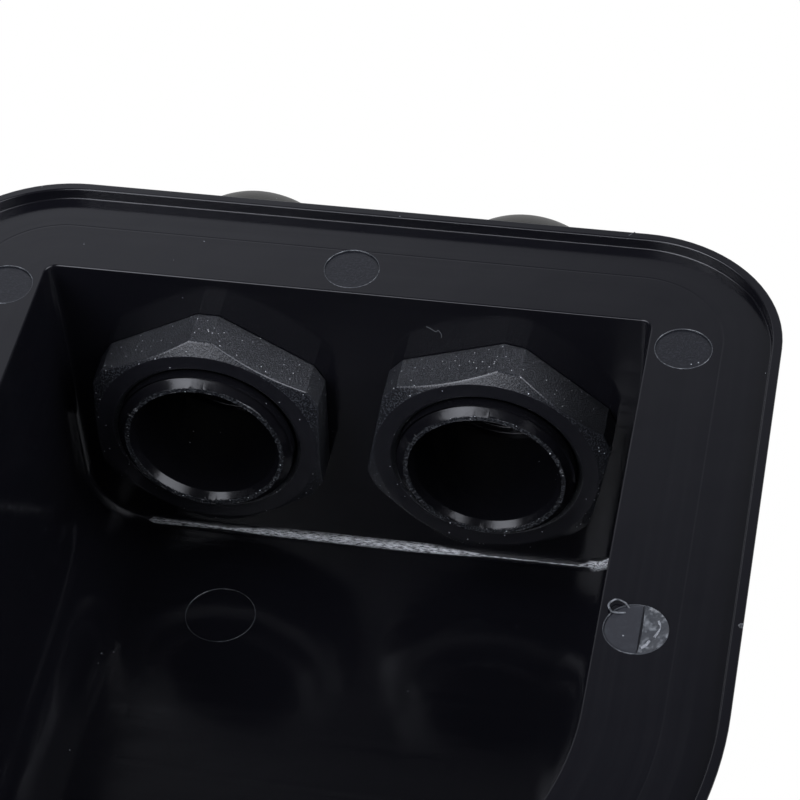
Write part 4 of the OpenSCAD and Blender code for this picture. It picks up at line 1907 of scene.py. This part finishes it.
@dataclass
class Studio:
    """Floor, light and camera."""

    place: Frame
    camera_mm: Corner = (59.591, 194.631, -224.228)
    camera_deg: Corner = (-134.618, -2.4289, -10.4159)
    lens_mm: float = 140.33
    sensor_mm: float = 36.0
    near_mm: float = 10.0
    floor_size_mm: float = 12000.0
    floor_drop_mm: float = 0.1
    floor_colour: str = "#e2e2e1"
    # Radius of the corners of the floor's opening under the flange
    opening_corner_mm: float = 16.0
    sky_level: float = 1.0
    sky_colour: str = "#ffffff"
    # Near the horizon the sky fades to the floor's brightness, as a paper sweep does
    cove_level: float = 0.87
    cove_height: float = 0.3
    # Light from below the floor, where there is no panel, and how far below the horizon the sky ends
    low_level: float = 0.04
    low_height: float = -0.12
    panel_colour: str = "#f1f4ff"
    panels: tuple[SoftPanel, ...] = (
        SoftPanel((-0.44, -0.76, -0.48), 0.0, 26.0, 0.64),
        SoftPanel((0.0, -0.9, -0.43), 0.0, 30.0, 0.31),
        SoftPanel((-0.52, 0.16, -0.84), 2.0, 25.0, 5.0),
        SoftPanel((0.78, 0.12, -0.61), 8.0, 38.0, 4.6),
        SoftPanel((-0.26, 0.92, -0.27), 4.0, 26.0, 4.2),
        SoftPanel((-0.5, 0.6, -0.62), 15.0, 22.0, 4.0),
    )
    sky_panels: tuple[SoftPanel, ...] = (
        SoftPanel((-0.6, -0.45, 0.65), 8.0, 20.0, 1.8),
        SoftPanel((0.5, 0.55, 0.65), 8.0, 20.0, 1.8),
    )

    def camera(self) -> None:
        """Sets the camera at the viewing angle, from below the flange."""
        data = bpy.data.cameras.new("camera")
        data.lens = self.lens_mm
        data.sensor_width = self.sensor_mm
        data.clip_start = self.near_mm * MM
        camera = bpy.data.objects.new("camera", data)
        camera.location = Vector(self.camera_mm) * MM
        camera.rotation_euler = Euler([math.radians(a) for a in self.camera_deg])
        bpy.context.scene.collection.objects.link(camera)
        bpy.context.scene.camera = camera

    def opening(self, tree: bpy.types.NodeTree) -> bpy.types.NodeSocket:
        """Finds the part of the floor under the flange, where all but the camera's rays pass.

        Args:
            tree: the floor's nodes.

        Returns:
            One where rays pass, zero elsewhere.
        """
        half, corner = self.place.flange_half, self.opening_corner_mm
        place = add_node(tree, "ShaderNodeTexCoord")
        width = add_node(tree, "ShaderNodeVectorMath", {0: place.outputs["Object"]}, operation="ABSOLUTE")
        path = add_node(tree, "ShaderNodeLightPath")
        clear = add_node(tree, "ShaderNodeMath", {
            0: 1.0, 1: path.outputs["Is Camera Ray"],
        }, operation="SUBTRACT")
        x = add_node(tree, "ShaderNodeSeparateXYZ", {0: width.outputs[0]}).outputs["X"]
        y = add_node(tree, "ShaderNodeSeparateXYZ", {0: place.outputs["Object"]}).outputs["Y"]
        # The nose's half circle and the two corners at the gland end: centre, way along Y, and radius
        for centre_x, centre_y, way, radius in (
            (0.0, self.place.nose_y, 1.0, half),
            (half - corner, self.place.gland_end_y + corner, -1.0, corner),
        ):
            across = add_node(tree, "ShaderNodeMath", {0: x, 1: centre_x * MM}, operation="SUBTRACT")
            along = add_node(tree, "ShaderNodeMath", {
                0: y, 1: way, 2: -way * centre_y * MM,
            }, operation="MULTIPLY_ADD")
            spot = add_node(tree, "ShaderNodeCombineXYZ", {0: across.outputs[0], 1: along.outputs[0]})
            past = add_node(tree, "ShaderNodeVectorMath", {
                0: spot.outputs[0], 1: (0.0, 0.0, 0.0),
            }, operation="MAXIMUM")
            away = add_node(tree, "ShaderNodeVectorMath", {0: past.outputs[0]}, operation="LENGTH")
            inside = add_node(tree, "ShaderNodeMath", {
                0: away.outputs["Value"], 1: radius * MM,
            }, operation="LESS_THAN")
            clear = add_node(tree, "ShaderNodeMath", {
                0: clear.outputs[0], 1: inside.outputs[0],
            }, operation="MULTIPLY")
        return clear.outputs[0]

    def floor(self) -> None:
        """Lays the pale paper floor, which is see-through from below and has an opening under the flange."""
        half, z = self.floor_size_mm / 2 * MM, -self.floor_drop_mm * MM
        corners = [(-half, -half, z), (half, -half, z), (half, half, z), (-half, half, z)]
        mesh = bpy.data.meshes.new("floor")
        mesh.from_pydata(corners, [], [(0, 1, 2, 3)])
        material, tree = blank_material("floor_paper")
        paper = add_node(tree, "ShaderNodeBsdfDiffuse", {"Color": linear(self.floor_colour)})
        clear = add_node(tree, "ShaderNodeBsdfTransparent")
        facing = add_node(tree, "ShaderNodeNewGeometry")
        share = add_node(tree, "ShaderNodeMath", {
            0: facing.outputs["Backfacing"], 1: self.opening(tree),
        }, operation="MAXIMUM")
        mix = add_node(tree, "ShaderNodeMixShader", {
            0: share.outputs[0], 1: paper.outputs[0], 2: clear.outputs[0],
        })
        add_node(tree, "ShaderNodeOutputMaterial", {"Surface": mix.outputs[0]})
        mesh.materials.append(material)
        floor = bpy.data.objects.new("floor", mesh)
        bpy.context.scene.collection.objects.link(floor)

    def glow(self, tree: bpy.types.NodeTree, place: bpy.types.NodeSocket, panels: Sequence[SoftPanel],
             base: float) -> bpy.types.NodeSocket:
        """Adds soft panels to an even light.

        Args:
            tree: the world's nodes.
            place: direction in the sky.
            panels: the panels.
            base: the even light.

        Returns:
            The light in each direction.
        """
        total: bpy.types.NodeSocket | float = base
        for panel in panels:
            facing = add_node(tree, "ShaderNodeVectorMath", {
                0: place, 1: Vector(panel.towards).normalized(),
            }, operation="DOT_PRODUCT")
            patch = add_node(tree, "ShaderNodeMapRange", {
                "Value": facing.outputs["Value"], "From Min": math.cos(math.radians(panel.edge_deg)),
                "From Max": math.cos(math.radians(panel.core_deg)), "To Min": 0.0, "To Max": panel.strength,
            }, interpolation_type="SMOOTHSTEP")
            total = add_node(tree, "ShaderNodeMath", {
                0: total, 1: patch.outputs[0],
            }, operation="ADD").outputs[0]
        return total

    def light(self) -> None:
        """Lights the studio: a white sky above the floor, and soft panels below it."""
        world = bpy.data.worlds.new("studio")
        bpy.context.scene.world = world
        world.use_nodes = True
        tree = world.node_tree
        tree.nodes.clear()
        place = add_node(tree, "ShaderNodeTexCoord").outputs["Generated"]
        up = add_node(tree, "ShaderNodeSeparateXYZ", {0: place}).outputs["Z"]
        below = self.glow(tree, place, self.panels, self.low_level)
        above = self.glow(tree, place, self.sky_panels, self.sky_level)
        low = add_node(tree, "ShaderNodeMapRange", {
            "Value": up, "From Min": self.low_height, "From Max": 0.0, "To Min": 0.0, "To Max": 1.0,
        }, interpolation_type="SMOOTHSTEP")
        cove = add_node(tree, "ShaderNodeMapRange", {
            "Value": up, "From Min": 0.0, "From Max": self.cove_height, "To Min": self.cove_level,
            "To Max": 1.0,
        }, interpolation_type="SMOOTHSTEP")
        faded = add_node(tree, "ShaderNodeMath", {0: above, 1: cove.outputs[0]}, operation="MULTIPLY")
        level = add_node(tree, "ShaderNodeMix", {
            0: low.outputs[0], 2: below, 3: faded.outputs[0],
        }, data_type="FLOAT")
        tint = add_node(tree, "ShaderNodeMix", {
            0: low.outputs[0], 6: linear(self.panel_colour), 7: linear(self.sky_colour),
        }, data_type="RGBA")
        sky = add_node(tree, "ShaderNodeBackground", {"Color": tint.outputs[2], "Strength": level.outputs[0]})
        add_node(tree, "ShaderNodeOutputWorld", {"Surface": sky.outputs[0]})

    def build(self) -> None:
        """Sets up the whole studio."""
        self.camera()
        self.floor()
        self.light()
        bpy.context.scene.view_settings.view_transform = "Standard"


def main() -> None:
    """Builds the studio, the hood and both glands."""
    logging.basicConfig(level=logging.INFO, format="%(name)s: %(message)s")
    place = Frame.read()
    Studio(place).build()
    finishes = {look: look.material() for look in GLAND_LOOKS}
    pieces = [Hood(place).build()]
    for side, nut_turn in NUT_TURN_DEG.items():
        pieces += Gland(place, side, finishes, nut_turn).build()


if __name__ == "__main__":
    main()
